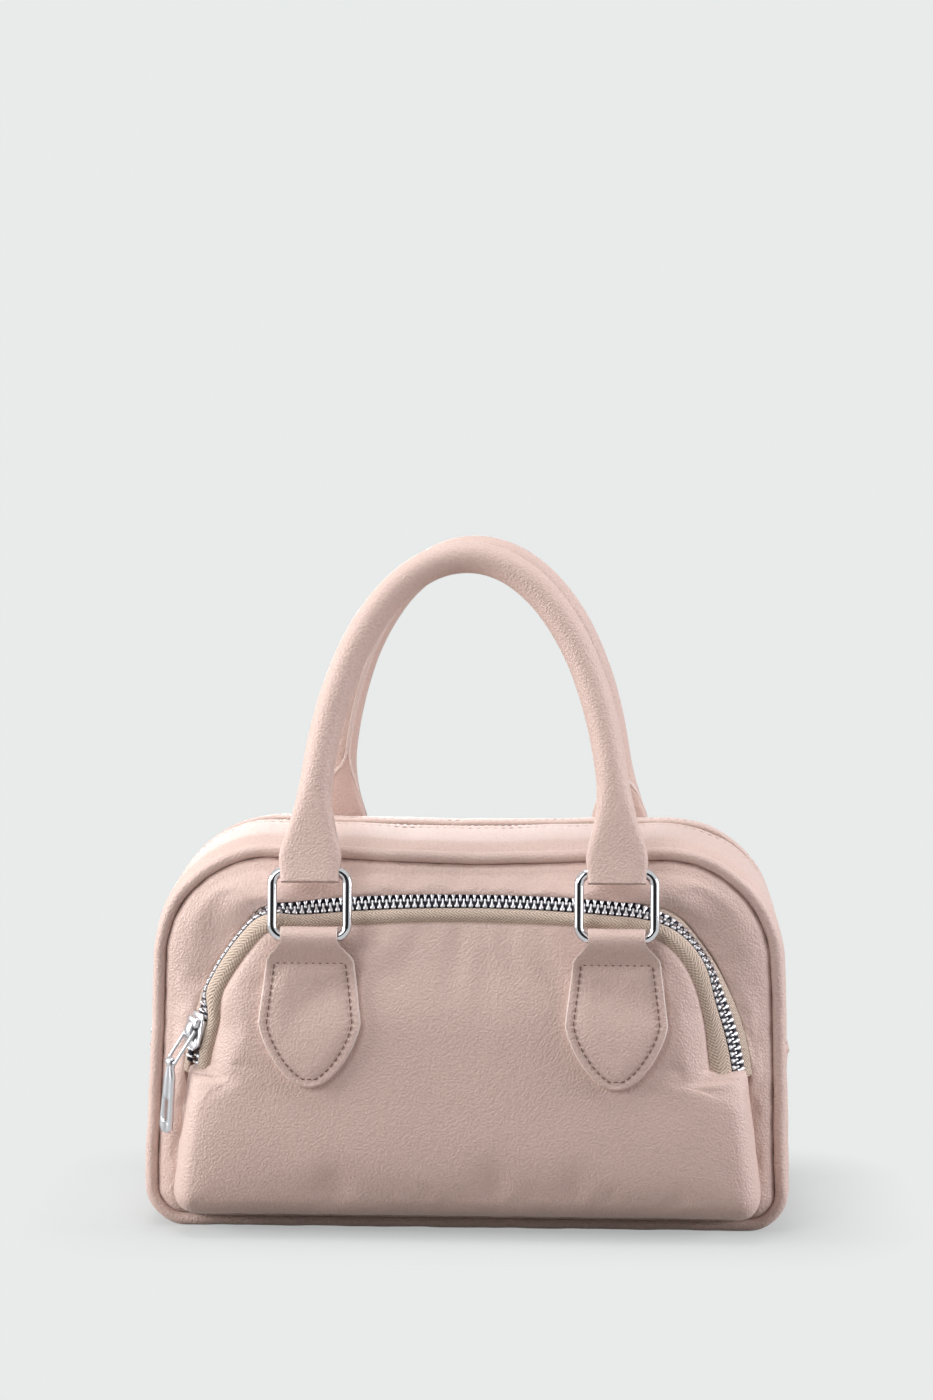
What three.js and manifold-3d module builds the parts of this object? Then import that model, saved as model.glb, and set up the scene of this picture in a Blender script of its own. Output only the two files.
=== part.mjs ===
// Small bowling bag with a zipped front pocket, four ring tabs and two rolled handles.
// Millimetres, +Z up, the front faces -Y, origin at the middle of the base where it rests.
import * as THREE from 'three';
import { mergeVertices } from 'three/addons/utils/BufferGeometryUtils.js';
import Module from 'manifold-3d';

const wasm = await Module();
wasm.setup();

const DEG = Math.PI / 180;
const GAP = 0.3; // clearance between pieces that touch

// Body outline at the piped seams, seen from the front
const SEAM_Y = 44;
const PIPING_RADIUS = 2.3;
const TOP_CORNER = { x: 70.5, z: 95.7, radius: 40, steps: 7 };
const BASE_CORNER = { x: 101.2, z: 14.3, radius: 12, steps: 4 };
const STRIP_SEAM_Z = 66; // where the zip strips meet the base gusset

// Panels and gusset
const PANEL_BACK = 44.8;
const FRONT_FACE = 48.2;
const BACK_FACE = 49.2;
const PANEL_EDGE_INSET = 2.3;
const PANEL_RIM = { tuckedIn: 0.45, low: 0.8, high: 1.3 }; // rounded rim of a panel, in behind the piping
const PANEL_SWELL = { shoulderInset: 2.2, shoulderDrop: 0.9, faceInset: 6.7 };
const GUSSET_THICKNESS = 1.8;
const SIDE_CROWN = 3.3; // how far the gusset swells past the seam at the sides and top
const TOP_DOME = 4; // how much higher the top stands along the zip
const DOME_START = 0.25; // upward share of the outline's normal where the dome begins
const STRIP_MIDDLE = 20;
const SEAM_ALLOWANCE = 9;
const SEAM_ROLL = { start: -2.75, turn: [1, -1.9], rise: [1.9, 0.2] }; // how the gusset rolls out of the seam
const SEAM_ROLL_INSIDE = { corner: [1.7, -2.6], thickness: 1.4 };
const GUSSET_SHOULDER = { inset: 6, drop: 0.4 };
const GUSSET_PLATEAU_INSET = 11;
const TONGUE_HALF = 0.45;
const BOARD = { sideInset: 6, endInset: 9, corner: 6, thickness: 1.6 };
const LINING = { inset: 3, halfDepth: 41, cloth: 0.8, slotHalf: 6, slotDepth: 8, slotEnd: 12 };

// Zip chain, the same on both zips
const PITCH = 2.5;
const ROW_EDGE = 2.95;
const TOOTH_REACH = 0.8;
const ROW_SPLIT = 0.24;
const TOOTH_HALF = 1.3;
const TOOTH_TIP_HALF = 1.05;
const TAPE_HALF = 0.35;
const TAPE_START = ROW_EDGE + GAP;

// Main zip, along the middle of the top gusset
const STRIP_EDGE_Y = 7;
const MAIN_TAPE_END = 11;
const MAIN_CHAIN_OFFSET = SIDE_CROWN - GUSSET_THICKNESS - GAP - TAPE_HALF;
const MAIN_SLIDER_Z = 76;

// Pocket: a three-centred arch for the zip, straight sides below it
const ARCH_SIDE = { x: 9.2, z: 49.6, radius: 88 };
const ARCH_START = 7.3 * DEG;
const ARCH_SHOULDER = 42 * DEG;
const ARCH_CORNER_RADIUS = 25;
const ARCH_TOP = 84 * DEG;
const POCKET_CORNER = { z: 18, radius: 11 };
const LEATHER = 2;
const TAPE_WEB = { least: 4.9, more: 2.7 }; // upper tape between the panel and the chain
const SIDE_REACH = 3; // how much further out the chain runs where it faces the side
const TAPE_FLANGE = 5;
const FACING_ARCH = { shoulder: 5, face: 10, insideShoulder: 7, insideFace: 11, lap: 4.5, rounding: 1.5 };
const FACING_WALL = { rise: 8, bulge: 0.5, edge: 3, face: 10 };
const FACING_WALL_INSIDE = { rise: 11, shoulder: 7, drop: 1.2 };
const TILT_TOP = 62 * DEG;
const TILT_LEFT = { angle: 8 * DEG, lead: 0, run: 30 }; // lead: how far before the arch's shoulder
const TILT_RIGHT = { angle: 42 * DEG, lead: 20, run: 25 }; // the ribbon starts to turn to the front
const TILT_SLIDER = { angle: 38 * DEG, until: 16, run: 14 }; // at the left end the slider faces forward
const TAPE_TURN = 78 * DEG; // lean of the lower tape where it runs to the facing
const TAPE_BEND = 4.6;
const TAPE_SHOWN = { front: 3.3, side: 5.5, end: 3.2, endRun: 32 }; // end: added towards the right end
const TAPE_TUCK = 3.5;
const POCKET_SLIDER_ANGLE = 15.1 * DEG;

// Pocket belly: depth in front of the panel, a plane that leans out downwards
const BELLY_TOP = { z: 112, depth: 13.2 };
const BELLY_TILT = 4.6 * DEG;

// Sliders and pulls
const SLIDER = { mouth: 3.6, waist: 4.8, tail: 2.6, length: 6.5, plate: 1 };
const SLIDER_INSIDE = TOOTH_HALF + 0.45; // half the room between the slider's two plates
const SLIDER_POST = { half: 1.4, tip: -1.6, end: -5.2 };
const SLIDER_LIP = { thick: 0.7, length: 8, depth: 1.2, across: 3.9 };
const SLIDER_BRIDGE = { half: 4, height: 4.2, width: 2.4, bar: 1.4 };
const LINK_WIRE = 0.65;
const LINK_LENGTH = 13.5;
const LINK_HALF_WIDTH = 2.6;
const LINK_CORNER = 1.2;
const LINK_HEIGHT = SLIDER_INSIDE + SLIDER.plate + 0.95; // how far out from the chain the link's bar lies
const POCKET_LINK_LIFT = 21 * DEG;
const MAIN_LINK_LIFT = 8.5 * DEG;
const PULL = { neck: 1.5, shoulder: 2.7, halfWidth: 3.6, length: 26, round: 4, thick: 2, bevel: 0.4 };
const PULL_BARREL = 1.7;
const PULL_SLOT = { top: 14, bottom: 21.5, topHalf: 1.5, bottomHalf: 1.7 };

// Tabs, rings and handles
const HANDLE_SPAN = 54; // half the distance between the two rings of a handle
const RING_AXIS_Z = 108;
const RING_WIRE = 1.7;
const RING_HALF_WIDTH = 13.3;
const RING_HEIGHT = 23.2;
const RING_CORNER = 4.5;
const FRONT_RING_LEAN = 8 * DEG; // over the zip; the back rings stand straight up the panel
const LOOP_RADIUS = 3.8;
const LOOP_BORE = 2.3;
const TAB = {
  strap: 10,
  thick: 2.8,
  shoulder: { x: 15.6, y: -6.6 },
  hip: { x: 18.1, y: -30, turn: 7 },
  tip: { y: -53, turn: 9 },
};
const HANDLE_LEAN = 13.9 * DEG;
const HANDLE_RISE = 113;
const HANDLE_ROUNDNESS = 0.9;
const TUBE_RADIUS = 5.4;
const HANDLE_END = { width: 20.4, swell: 2, swellAt: 6, blend: 42 };
const CORE_RADIUS = 3;
const CORE_START = 25;

// Colours
const LEATHER_COLOUR = 0xc2a99f;
const FABRIC_COLOUR = 0xc0aa9a;
const METAL_COLOUR = 0xc8c8cc;
const CORE_COLOUR = 0xd8d2c4;
const BOARD_COLOUR = 0x8a7a6a;

function smooth(value) {
  const f = Math.min(Math.max(value, 0), 1);
  return f * f * (3 - 2 * f);
}

// Closed surfaces from rings of points

function faceCap(ring, first, turned) {
  const normal = new THREE.Vector3();
  ring.forEach((p, i) => normal.add(new THREE.Vector3().crossVectors(p, ring[(i + 1) % ring.length])));
  const across = new THREE.Vector3().subVectors(ring[1], ring[0]).cross(normal).normalize();
  const along = new THREE.Vector3().crossVectors(normal, across).normalize();
  const flat = ring.map((p) => new THREE.Vector2(p.dot(across), p.dot(along)));
  const index = [];
  for (const [a, b, c] of THREE.ShapeUtils.triangulateShape(flat, [])) {
    const positive = THREE.ShapeUtils.area([flat[a], flat[b], flat[c]]) > 0;
    const order = positive === turned ? [a, c, b] : [a, b, c];
    index.push(...order.map((k) => first + k));
  }
  return index;
}

function loft(rings, closed = false) {
  const size = rings[0].length;
  const index = [];
  const spans = closed ? rings.length : rings.length - 1;
  for (let i = 0; i < spans; i += 1) {
    const here = i * size;
    const next = ((i + 1) % rings.length) * size;
    for (let j = 0; j < size; j += 1) {
      const k = (j + 1) % size;
      index.push(here + j, next + j, next + k, here + j, next + k, here + k);
    }
  }
  if (!closed) {
    index.push(...faceCap(rings[0], 0, false));
    index.push(...faceCap(rings.at(-1), (rings.length - 1) * size, true));
  }
  const points = rings.flat();
  let volume = 0;
  for (let i = 0; i < index.length; i += 3) {
    const [a, b, c] = [points[index[i]], points[index[i + 1]], points[index[i + 2]]];
    volume += a.dot(new THREE.Vector3().crossVectors(b, c));
  }
  const geometry = new THREE.BufferGeometry().setFromPoints(points);
  geometry.setIndex(volume < 0 ? index.reverse() : index);
  return geometry;
}

// Booleans

function toSolid(geometry) {
  const bare = geometry.clone();
  bare.deleteAttribute('normal');
  bare.deleteAttribute('uv');
  const merged = mergeVertices(bare, 1e-4);
  return new wasm.Manifold(new wasm.Mesh({
    numProp: 3,
    vertProperties: new Float32Array(merged.attributes.position.array),
    triVerts: new Uint32Array(merged.index.array),
  }));
}

function fromSolid(solid) {
  const mesh = solid.getMesh();
  const geometry = new THREE.BufferGeometry();
  geometry.setAttribute('position', new THREE.BufferAttribute(new Float32Array(mesh.vertProperties), 3));
  geometry.setIndex(new THREE.BufferAttribute(new Uint32Array(mesh.triVerts), 1));
  return geometry;
}

function joined(first, ...others) {
  return others.reduce((solid, geometry) => solid.add(toSolid(geometry)), toSolid(first));
}

function cutBy(solid, ...cutters) {
  return cutters.reduce((rest, geometry) => rest.subtract(toSolid(geometry)), solid);
}

// Paths in the XZ plane: arcs joined by straight runs, with an outward normal

function arc(x, z, radius, from, to, steps) {
  const at = (f) => {
    const angle = from + (to - from) * f;
    const [nx, nz] = [Math.cos(angle), Math.sin(angle)];
    return { x: x + radius * nx, z: z + radius * nz, nx, nz };
  };
  return { at, steps, length: radius * Math.abs(to - from) };
}

function run(start, end) {
  const length = Math.hypot(end.x - start.x, end.z - start.z);
  const at = (f) => ({
    x: start.x + (end.x - start.x) * f,
    z: start.z + (end.z - start.z) * f,
    nx: end.nx,
    nz: end.nz,
  });
  return { at, steps: 1, length };
}

function makePath(pieces) {
  const breaks = [];
  let length = 0;
  for (const piece of pieces) {
    for (let i = 0; i < piece.steps; i += 1) {
      breaks.push(length + (piece.length * i) / piece.steps);
    }
    length += piece.length;
  }
  const at = (s) => {
    let rest = s;
    let k = 0;
    while (k < pieces.length - 1 && rest > pieces[k].length) {
      rest -= pieces[k].length;
      k += 1;
    }
    return { ...pieces[k].at(rest / pieces[k].length), s };
  };
  const between = (from, to) => {
    const inside = breaks.filter((s) => s > from + 0.2 && s < to - 0.2);
    return [from, ...inside, to].map(at);
  };
  return { at, between, length };
}

// A section given as [y, offset] pairs, carried along stations of a path
function band(stations, sectionAt, closed = false) {
  const rings = stations.map((place) => sectionAt(place).map(
    ([y, offset]) => new THREE.Vector3(place.x + place.nx * offset, y, place.z + place.nz * offset),
  ));
  return loft(rings, closed);
}

// Body outline, starting at the left strip seam and going up over the top

function bodyPath() {
  const rise = TOP_CORNER.z - BASE_CORNER.z;
  const inward = BASE_CORNER.x - TOP_CORNER.x;
  const slack = TOP_CORNER.radius - BASE_CORNER.radius;
  const lean = Math.atan2(inward, rise) - Math.asin(slack / Math.hypot(rise, inward));
  const cornerArc = ({ x, z, radius, steps }, side, from, to) => arc(side * x, z, radius, from, to, steps);
  const topLeft = cornerArc(TOP_CORNER, -1, Math.PI - lean, Math.PI / 2);
  const topRight = cornerArc(TOP_CORNER, 1, Math.PI / 2, lean);
  const baseRight = cornerArc(BASE_CORNER, 1, lean, -Math.PI / 2);
  const baseLeft = cornerArc(BASE_CORNER, -1, -Math.PI / 2, -Math.PI - lean);
  const sideTop = topLeft.at(0);
  const sideBase = { ...baseLeft.at(1), nx: sideTop.nx, nz: sideTop.nz };
  const seamShare = (STRIP_SEAM_Z - sideBase.z) / (sideTop.z - sideBase.z);
  const seam = run(sideBase, sideTop).at(seamShare);
  const path = makePath([
    run(seam, sideTop),
    topLeft,
    run(topLeft.at(1), topRight.at(0)),
    topRight,
    run(topRight.at(1), { ...baseRight.at(0), nx: -sideTop.nx, nz: sideTop.nz }),
    baseRight,
    run(baseRight.at(1), { ...baseLeft.at(0), nx: 0, nz: -1 }),
    baseLeft,
    run(sideBase, seam),
  ]);
  const upSide = Math.hypot(sideTop.x - seam.x, sideTop.z - seam.z);
  const over = 2 * topLeft.length + 2 * TOP_CORNER.x;
  return { ...path, stripLength: 2 * upSide + over };
}

const body = bodyPath();
const wholeBody = body.between(0, body.length).slice(0, -1);

function outlineRing(inset, y) {
  return wholeBody.map((p) => new THREE.Vector3(p.x - p.nx * inset, y, p.z - p.nz * inset));
}

// Body panels, piping and gusset

function panel(side, face) {
  return loft([
    outlineRing(PANEL_EDGE_INSET + PANEL_RIM.tuckedIn, side * PANEL_BACK),
    outlineRing(PANEL_EDGE_INSET, side * (PANEL_BACK + PANEL_RIM.low)),
    outlineRing(PANEL_EDGE_INSET, side * (PANEL_BACK + PANEL_RIM.high)),
    outlineRing(PANEL_EDGE_INSET + PANEL_SWELL.shoulderInset, side * (face - PANEL_SWELL.shoulderDrop)),
    outlineRing(PANEL_EDGE_INSET + PANEL_SWELL.faceInset, side * face),
  ]);
}

// A bead with the sewn-in tongue that holds it between panel and gusset
function piping(side) {
  const bead = [];
  const points = 8;
  const open = Math.asin(TONGUE_HALF / PIPING_RADIUS);
  for (let i = 0; i < points; i += 1) {
    const angle = -Math.PI / 2 + open + ((2 * Math.PI - 2 * open) * i) / (points - 1);
    bead.push([PIPING_RADIUS * Math.cos(angle), PIPING_RADIUS * Math.sin(angle)]);
  }
  const section = [...bead, [-TONGUE_HALF, -SEAM_ALLOWANCE], [TONGUE_HALF, -SEAM_ALLOWANCE]];
  return band(wholeBody, () => section.map(([y, offset]) => [side * (SEAM_Y + y), offset]), true);
}

// Half of the gusset section, from the turned-in seam allowance to the plateau, outside then inside
function gussetHalf(crown) {
  const turnIn = SEAM_Y - TONGUE_HALF - GAP;
  const shoulder = crown - GUSSET_SHOULDER.drop;
  const outside = [
    [turnIn, -SEAM_ALLOWANCE],
    [turnIn, SEAM_ROLL.start],
    [turnIn - SEAM_ROLL.turn[0], SEAM_ROLL.turn[1]],
    [turnIn - SEAM_ROLL.rise[0], SEAM_ROLL.rise[1]],
    [SEAM_Y - GUSSET_SHOULDER.inset, shoulder],
    [SEAM_Y - GUSSET_PLATEAU_INSET, crown],
  ];
  const inside = [
    [SEAM_Y - GUSSET_PLATEAU_INSET, crown - GUSSET_THICKNESS],
    [SEAM_Y - GUSSET_SHOULDER.inset, shoulder - GUSSET_THICKNESS],
    [turnIn - SEAM_ROLL_INSIDE.corner[0], SEAM_ROLL_INSIDE.corner[1]],
    [turnIn - SEAM_ROLL_INSIDE.thickness, -SEAM_ALLOWANCE],
  ];
  return { outside, inside };
}

// The top of the bag arches up from the seams to the zip; the sides do not
function dome(place, y) {
  const rise = TOP_DOME * smooth((place.nz - DOME_START) / (1 - DOME_START));
  const fromSeam = SEAM_Y - GUSSET_SHOULDER.inset - Math.abs(y);
  return fromSeam < 0 ? 0 : rise * (1 - (y / SEAM_Y) ** 2);
}

function zipStrip(side) {
  const { outside, inside } = gussetHalf(SIDE_CROWN);
  const edge = [
    [STRIP_MIDDLE, SIDE_CROWN],
    [STRIP_EDGE_Y, SIDE_CROWN],
    [STRIP_EDGE_Y, SIDE_CROWN - GUSSET_THICKNESS],
    [STRIP_MIDDLE, SIDE_CROWN - GUSSET_THICKNESS],
  ];
  const section = [...outside, ...edge, ...inside];
  return band(
    body.between(GAP, body.stripLength - GAP),
    (place) => section.map(([y, offset]) => [side * y, offset + dome(place, y)]),
  );
}

// The base sits flush with the lowest line of the piping, so the bag rests flat
function baseGusset() {
  const sectionAt = (place) => {
    const crown = place.nz < -0.5 ? PIPING_RADIUS : SIDE_CROWN;
    const { outside, inside } = gussetHalf(crown);
    const mirror = (points) => points.map(([y, offset]) => [-y, offset]).reverse();
    return [...outside, ...mirror(outside), ...mirror(inside), ...inside];
  };
  return band(body.between(body.stripLength, body.length), sectionAt);
}

function baseBoard() {
  const halfWidth = BASE_CORNER.x - BOARD.sideInset;
  const halfDepth = SEAM_Y - BOARD.endInset;
  const { corner } = BOARD;
  const shape = new THREE.Shape();
  shape.absarc(halfWidth - corner, halfDepth - corner, corner, 0, Math.PI / 2);
  shape.absarc(corner - halfWidth, halfDepth - corner, corner, Math.PI / 2, Math.PI);
  shape.absarc(corner - halfWidth, corner - halfDepth, corner, Math.PI, 1.5 * Math.PI);
  shape.absarc(halfWidth - corner, corner - halfDepth, corner, 1.5 * Math.PI, 2 * Math.PI);
  const plate = { depth: BOARD.thickness, bevelEnabled: false, curveSegments: 4 };
  const board = new THREE.ExtrudeGeometry(shape, plate);
  return board.translate(0, 0, GUSSET_THICKNESS + GAP);
}

// A thin bag inside the body, open along the main zip
function lining() {
  const { inset, halfDepth, cloth, slotHalf, slotDepth, slotEnd } = LINING;
  const outer = loft([outlineRing(inset, -halfDepth), outlineRing(inset, halfDepth)]);
  const hollow = inset + cloth;
  const inner = loft([outlineRing(hollow, cloth - halfDepth), outlineRing(hollow, halfDepth - cloth)]);
  const slotSection = [[-slotHalf, 1], [slotHalf, 1], [slotHalf, -slotDepth], [-slotHalf, -slotDepth]];
  const slot = band(body.between(slotEnd, body.stripLength - slotEnd), () => slotSection);
  return fromSolid(cutBy(toSolid(outer), inner, slot));
}

// Zip chain in its own frame: across the chain, and out from its face

// Teeth on their bead as one row; the two rows mesh along a zigzag
function toothRow(path, from, to, side, placeAt) {
  const count = Math.floor((to - from) / (PITCH / 2));
  const rings = [];
  for (let i = 0; i <= count; i += 1) {
    const place = path.at(from + (i * PITCH) / 2);
    const tip = side * ROW_SPLIT + (i % 2 === 0 ? TOOTH_REACH : -TOOTH_REACH);
    const section = [
      [side * ROW_EDGE, -TOOTH_HALF],
      [side * ROW_EDGE, TOOTH_HALF],
      [tip, TOOTH_TIP_HALF],
      [tip, -TOOTH_TIP_HALF],
    ];
    rings.push(section.map(([across, out]) => placeAt(place, across, out)));
  }
  return loft(rings);
}

function onMainChain(place, across, out) {
  const offset = MAIN_CHAIN_OFFSET + dome(place, 0) + out;
  return new THREE.Vector3(place.x + place.nx * offset, across, place.z + place.nz * offset);
}

function mainTape(side) {
  const section = [
    [TAPE_START, -TAPE_HALF],
    [TAPE_START, TAPE_HALF],
    [MAIN_TAPE_END, TAPE_HALF],
    [MAIN_TAPE_END, -TAPE_HALF],
  ].map(([y, out]) => [side * y, MAIN_CHAIN_OFFSET + out]);
  return band(
    body.between(GAP, body.stripLength - GAP),
    (place) => section.map(([y, offset]) => [y, offset + dome(place, y)]),
  );
}

const mainSliderRun = MAIN_SLIDER_Z - STRIP_SEAM_Z;

function mainTeeth(side) {
  return toothRow(body, mainSliderRun - 1, body.stripLength - 2, side, onMainChain);
}

// Pocket outline: the zip's arch, then the sides and the bottom

function pocketPath() {
  const { x, z, radius } = ARCH_SIDE;
  const inward = radius - ARCH_CORNER_RADIUS;
  const corner = { x: x + inward * Math.cos(ARCH_SHOULDER), z: z + inward * Math.sin(ARCH_SHOULDER) };
  const topReach = corner.x / Math.cos(ARCH_TOP);
  const topRadius = topReach + ARCH_CORNER_RADIUS;
  const topZ = corner.z - topReach * Math.sin(ARCH_TOP);
  const normal = { x: Math.cos(ARCH_START), z: Math.sin(ARCH_START) };
  const reach = normal.x * x + normal.z * z + radius - POCKET_CORNER.radius;
  const cornerX = (reach - normal.z * POCKET_CORNER.z) / normal.x;
  const half = Math.PI;
  const pieces = [
    arc(-x, z, radius, half - ARCH_START, half - ARCH_SHOULDER, 8),
    arc(-corner.x, corner.z, ARCH_CORNER_RADIUS, half - ARCH_SHOULDER, half - ARCH_TOP, 4),
    arc(0, topZ, topRadius, half - ARCH_TOP, ARCH_TOP, 13),
    arc(corner.x, corner.z, ARCH_CORNER_RADIUS, ARCH_TOP, ARCH_SHOULDER, 4),
    arc(x, z, radius, ARCH_SHOULDER, ARCH_START, 5),
  ];
  const archLength = pieces.reduce((sum, piece) => sum + piece.length, 0);
  const shoulder = pieces[0].length;
  const right = arc(cornerX, POCKET_CORNER.z, POCKET_CORNER.radius, ARCH_START, -half / 2, 4);
  const left = arc(-cornerX, POCKET_CORNER.z, POCKET_CORNER.radius, -half / 2, -half - ARCH_START, 4);
  const path = makePath([
    ...pieces,
    run(pieces[4].at(1), right.at(0)),
    right,
    run(right.at(1), left.at(0)),
    left,
    run(left.at(1), pieces[0].at(0)),
  ]);
  return { ...path, archLength, shoulder };
}

const pocket = pocketPath();

// The ribbon faces the side at its ends and the front at the top of the arch
function ribbonTilt(s) {
  const fromEnd = Math.min(s, pocket.archLength - s);
  const { angle, lead, run: turnRun } = s < pocket.archLength / 2 ? TILT_LEFT : TILT_RIGHT;
  const turned = smooth((fromEnd - pocket.shoulder + lead) / turnRun);
  const atSlider = 1 - smooth((s - TILT_SLIDER.until) / TILT_SLIDER.run);
  return angle + (TILT_TOP - angle) * turned + (TILT_SLIDER.angle - TILT_LEFT.angle) * atSlider;
}

// How far in front of the panel the middle of the chain runs, on the web of the upper tape
function chainDepth(tilt) {
  const web = TAPE_WEB.least + TAPE_WEB.more * Math.sin(2 * tilt);
  return TAPE_HALF + GAP + web * Math.cos(tilt);
}

// 1 where the ribbon faces the side as it does on the left, 0 where it is turned as on the right or further
function sideways(tilt) {
  return smooth((TILT_RIGHT.angle - tilt) / (TILT_RIGHT.angle - TILT_LEFT.angle));
}

// Depth in front of the panel and outward offset of a point of the ribbon
function ribbonPoint(tilt, across, out) {
  const depth = chainDepth(tilt) + across * Math.cos(tilt) + out * Math.sin(tilt);
  const middle = SIDE_REACH * sideways(tilt);
  return { depth, offset: middle + out * Math.cos(tilt) - across * Math.sin(tilt) };
}

// The same for the lower tape past its bend, measured from the bend
function turnedPoint(tilt, along, out) {
  const bend = ribbonPoint(tilt, TAPE_BEND, 0);
  return {
    depth: bend.depth + along * Math.cos(TAPE_TURN) + out * Math.sin(TAPE_TURN),
    offset: bend.offset - along * Math.sin(TAPE_TURN) + out * Math.cos(TAPE_TURN),
  };
}

// How much of the lower tape shows above the facing: more where the zip faces the side and at the right end
function tapeShown(s) {
  const { front, side, end, endRun } = TAPE_SHOWN;
  const atEnd = smooth((s - pocket.archLength + endRun) / endRun);
  return front + (side - front) * sideways(ribbonTilt(s)) + end * atEnd;
}

function inFront(place, { depth, offset }) {
  return new THREE.Vector3(place.x + place.nx * offset, -FRONT_FACE - depth, place.z + place.nz * offset);
}

function onPocketChain(place, across, out) {
  return inFront(place, ribbonPoint(ribbonTilt(place.s), across, out));
}

const pocketSliderRun = ARCH_SIDE.radius * (POCKET_SLIDER_ANGLE - ARCH_START);

function pocketTeeth(side) {
  return toothRow(pocket, pocketSliderRun - 1, pocket.archLength - 1, side, onPocketChain);
}

function pocketTapeLower() {
  const rings = pocket.between(0, pocket.archLength).map((place) => {
    const tilt = ribbonTilt(place.s);
    const end = tapeShown(place.s) + TAPE_TUCK;
    return [
      ribbonPoint(tilt, TAPE_START, -TAPE_HALF),
      ribbonPoint(tilt, TAPE_START, TAPE_HALF),
      turnedPoint(tilt, 0, TAPE_HALF),
      turnedPoint(tilt, end, TAPE_HALF),
      turnedPoint(tilt, end, -TAPE_HALF),
      turnedPoint(tilt, 0, -TAPE_HALF),
    ].map((point) => inFront(place, point));
  });
  return loft(rings);
}

// The upper tape turns in at the panel and is sewn to it inside the pocket
function pocketTapeUpper() {
  const rings = pocket.between(0, pocket.archLength).map((place) => {
    const tilt = ribbonTilt(place.s);
    const foot = -(chainDepth(tilt) - TAPE_HALF - GAP) / Math.cos(tilt);
    const outer = ribbonPoint(tilt, foot, TAPE_HALF);
    const inner = ribbonPoint(tilt, foot, -TAPE_HALF);
    const low = GAP / 2;
    const high = low + 2 * TAPE_HALF;
    return [
      ribbonPoint(tilt, -TAPE_START, TAPE_HALF),
      { depth: low, offset: outer.offset },
      { depth: low, offset: inner.offset - TAPE_FLANGE },
      { depth: high, offset: inner.offset - TAPE_FLANGE },
      { depth: high, offset: inner.offset - TAPE_HALF },
      ribbonPoint(tilt, -TAPE_START, -TAPE_HALF),
    ].map((point) => inFront(place, point));
  });
  return loft(rings);
}

function bellyDepth(z) {
  return BELLY_TOP.depth + (BELLY_TOP.z - z) * Math.tan(BELLY_TILT);
}

// A point of the facing at an inset from the outline, at the belly's depth less some
function bellyPoint(place, inset, less) {
  const x = place.x - place.nx * inset;
  const z = place.z - place.nz * inset;
  return new THREE.Vector3(x, less - FRONT_FACE - bellyDepth(z), z);
}

function facingArchSection(place) {
  const tilt = ribbonTilt(place.s);
  const shown = tapeShown(place.s);
  const edge = -turnedPoint(tilt, shown, 0).offset;
  const onTape = (along, out) => {
    const point = inFront(place, turnedPoint(tilt, along, TAPE_HALF + GAP + out));
    point.y = Math.max(point.y, -FRONT_FACE - bellyDepth(point.z));
    return point;
  };
  return [
    bellyPoint(place, edge + FACING_ARCH.insideFace, LEATHER),
    bellyPoint(place, edge + FACING_ARCH.insideShoulder, LEATHER),
    onTape(shown + FACING_ARCH.lap, 0),
    onTape(shown, 0),
    onTape(shown, LEATHER - GAP),
    onTape(shown + FACING_ARCH.rounding, LEATHER),
    bellyPoint(place, edge + FACING_ARCH.shoulder, GAP),
    bellyPoint(place, edge + FACING_ARCH.face, 0),
  ];
}

function facingWallSection(place) {
  const onWall = (depth, offset) => inFront(place, { depth, offset });
  return [
    bellyPoint(place, FACING_WALL.face, LEATHER),
    bellyPoint(place, FACING_WALL_INSIDE.shoulder, LEATHER + FACING_WALL_INSIDE.drop),
    onWall(FACING_WALL_INSIDE.rise, -LEATHER),
    onWall(GAP, -LEATHER),
    onWall(GAP, 0),
    onWall(FACING_WALL.rise, FACING_WALL.bulge),
    bellyPoint(place, FACING_WALL.edge, FACING_WALL.edge),
    bellyPoint(place, FACING_WALL.face, 0),
  ];
}

// The puffed front of the pocket: a bowl whose rim meets the tape above and the panel below
function pocketFacing() {
  const step = 0.6;
  const arch = pocket.between(0, pocket.archLength);
  const wall = pocket.between(pocket.archLength + step, pocket.length - step);
  const sections = [...arch.map(facingArchSection), ...wall.map(facingWallSection)];
  const rings = sections[0].map((_, k) => sections.map((section) => section[k]));
  return loft(rings);
}

// Slider, pull link and pull tab in their own frame: x across the chain, y along it, z out

function sliderBody() {
  const { mouth, waist, tail, length, plate } = SLIDER;
  const outline = new THREE.Shape();
  outline.moveTo(-mouth, length);
  outline.lineTo(mouth, length);
  outline.quadraticCurveTo(mouth + 0.5, length - 4, waist, -1);
  outline.quadraticCurveTo(waist + 0.2, 0.5 - length, tail, -length);
  outline.lineTo(tail - 1.8, 1.1 - length);
  outline.lineTo(1.8 - tail, 1.1 - length);
  outline.lineTo(-tail, -length);
  outline.quadraticCurveTo(-waist - 0.2, 0.5 - length, -waist, -1);
  outline.quadraticCurveTo(-mouth - 0.5, length - 4, -mouth, length);
  const plateShape = { depth: plate, bevelEnabled: false, curveSegments: 4 };
  const front = new THREE.ExtrudeGeometry(outline, plateShape).translate(0, 0, SLIDER_INSIDE);
  const rear = new THREE.ExtrudeGeometry(outline, plateShape).translate(0, 0, -SLIDER_INSIDE - plate);
  return fromSolid(joined(front, rear, sliderPost(), sliderLip(-1), sliderLip(1), sliderBridge()));
}

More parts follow.
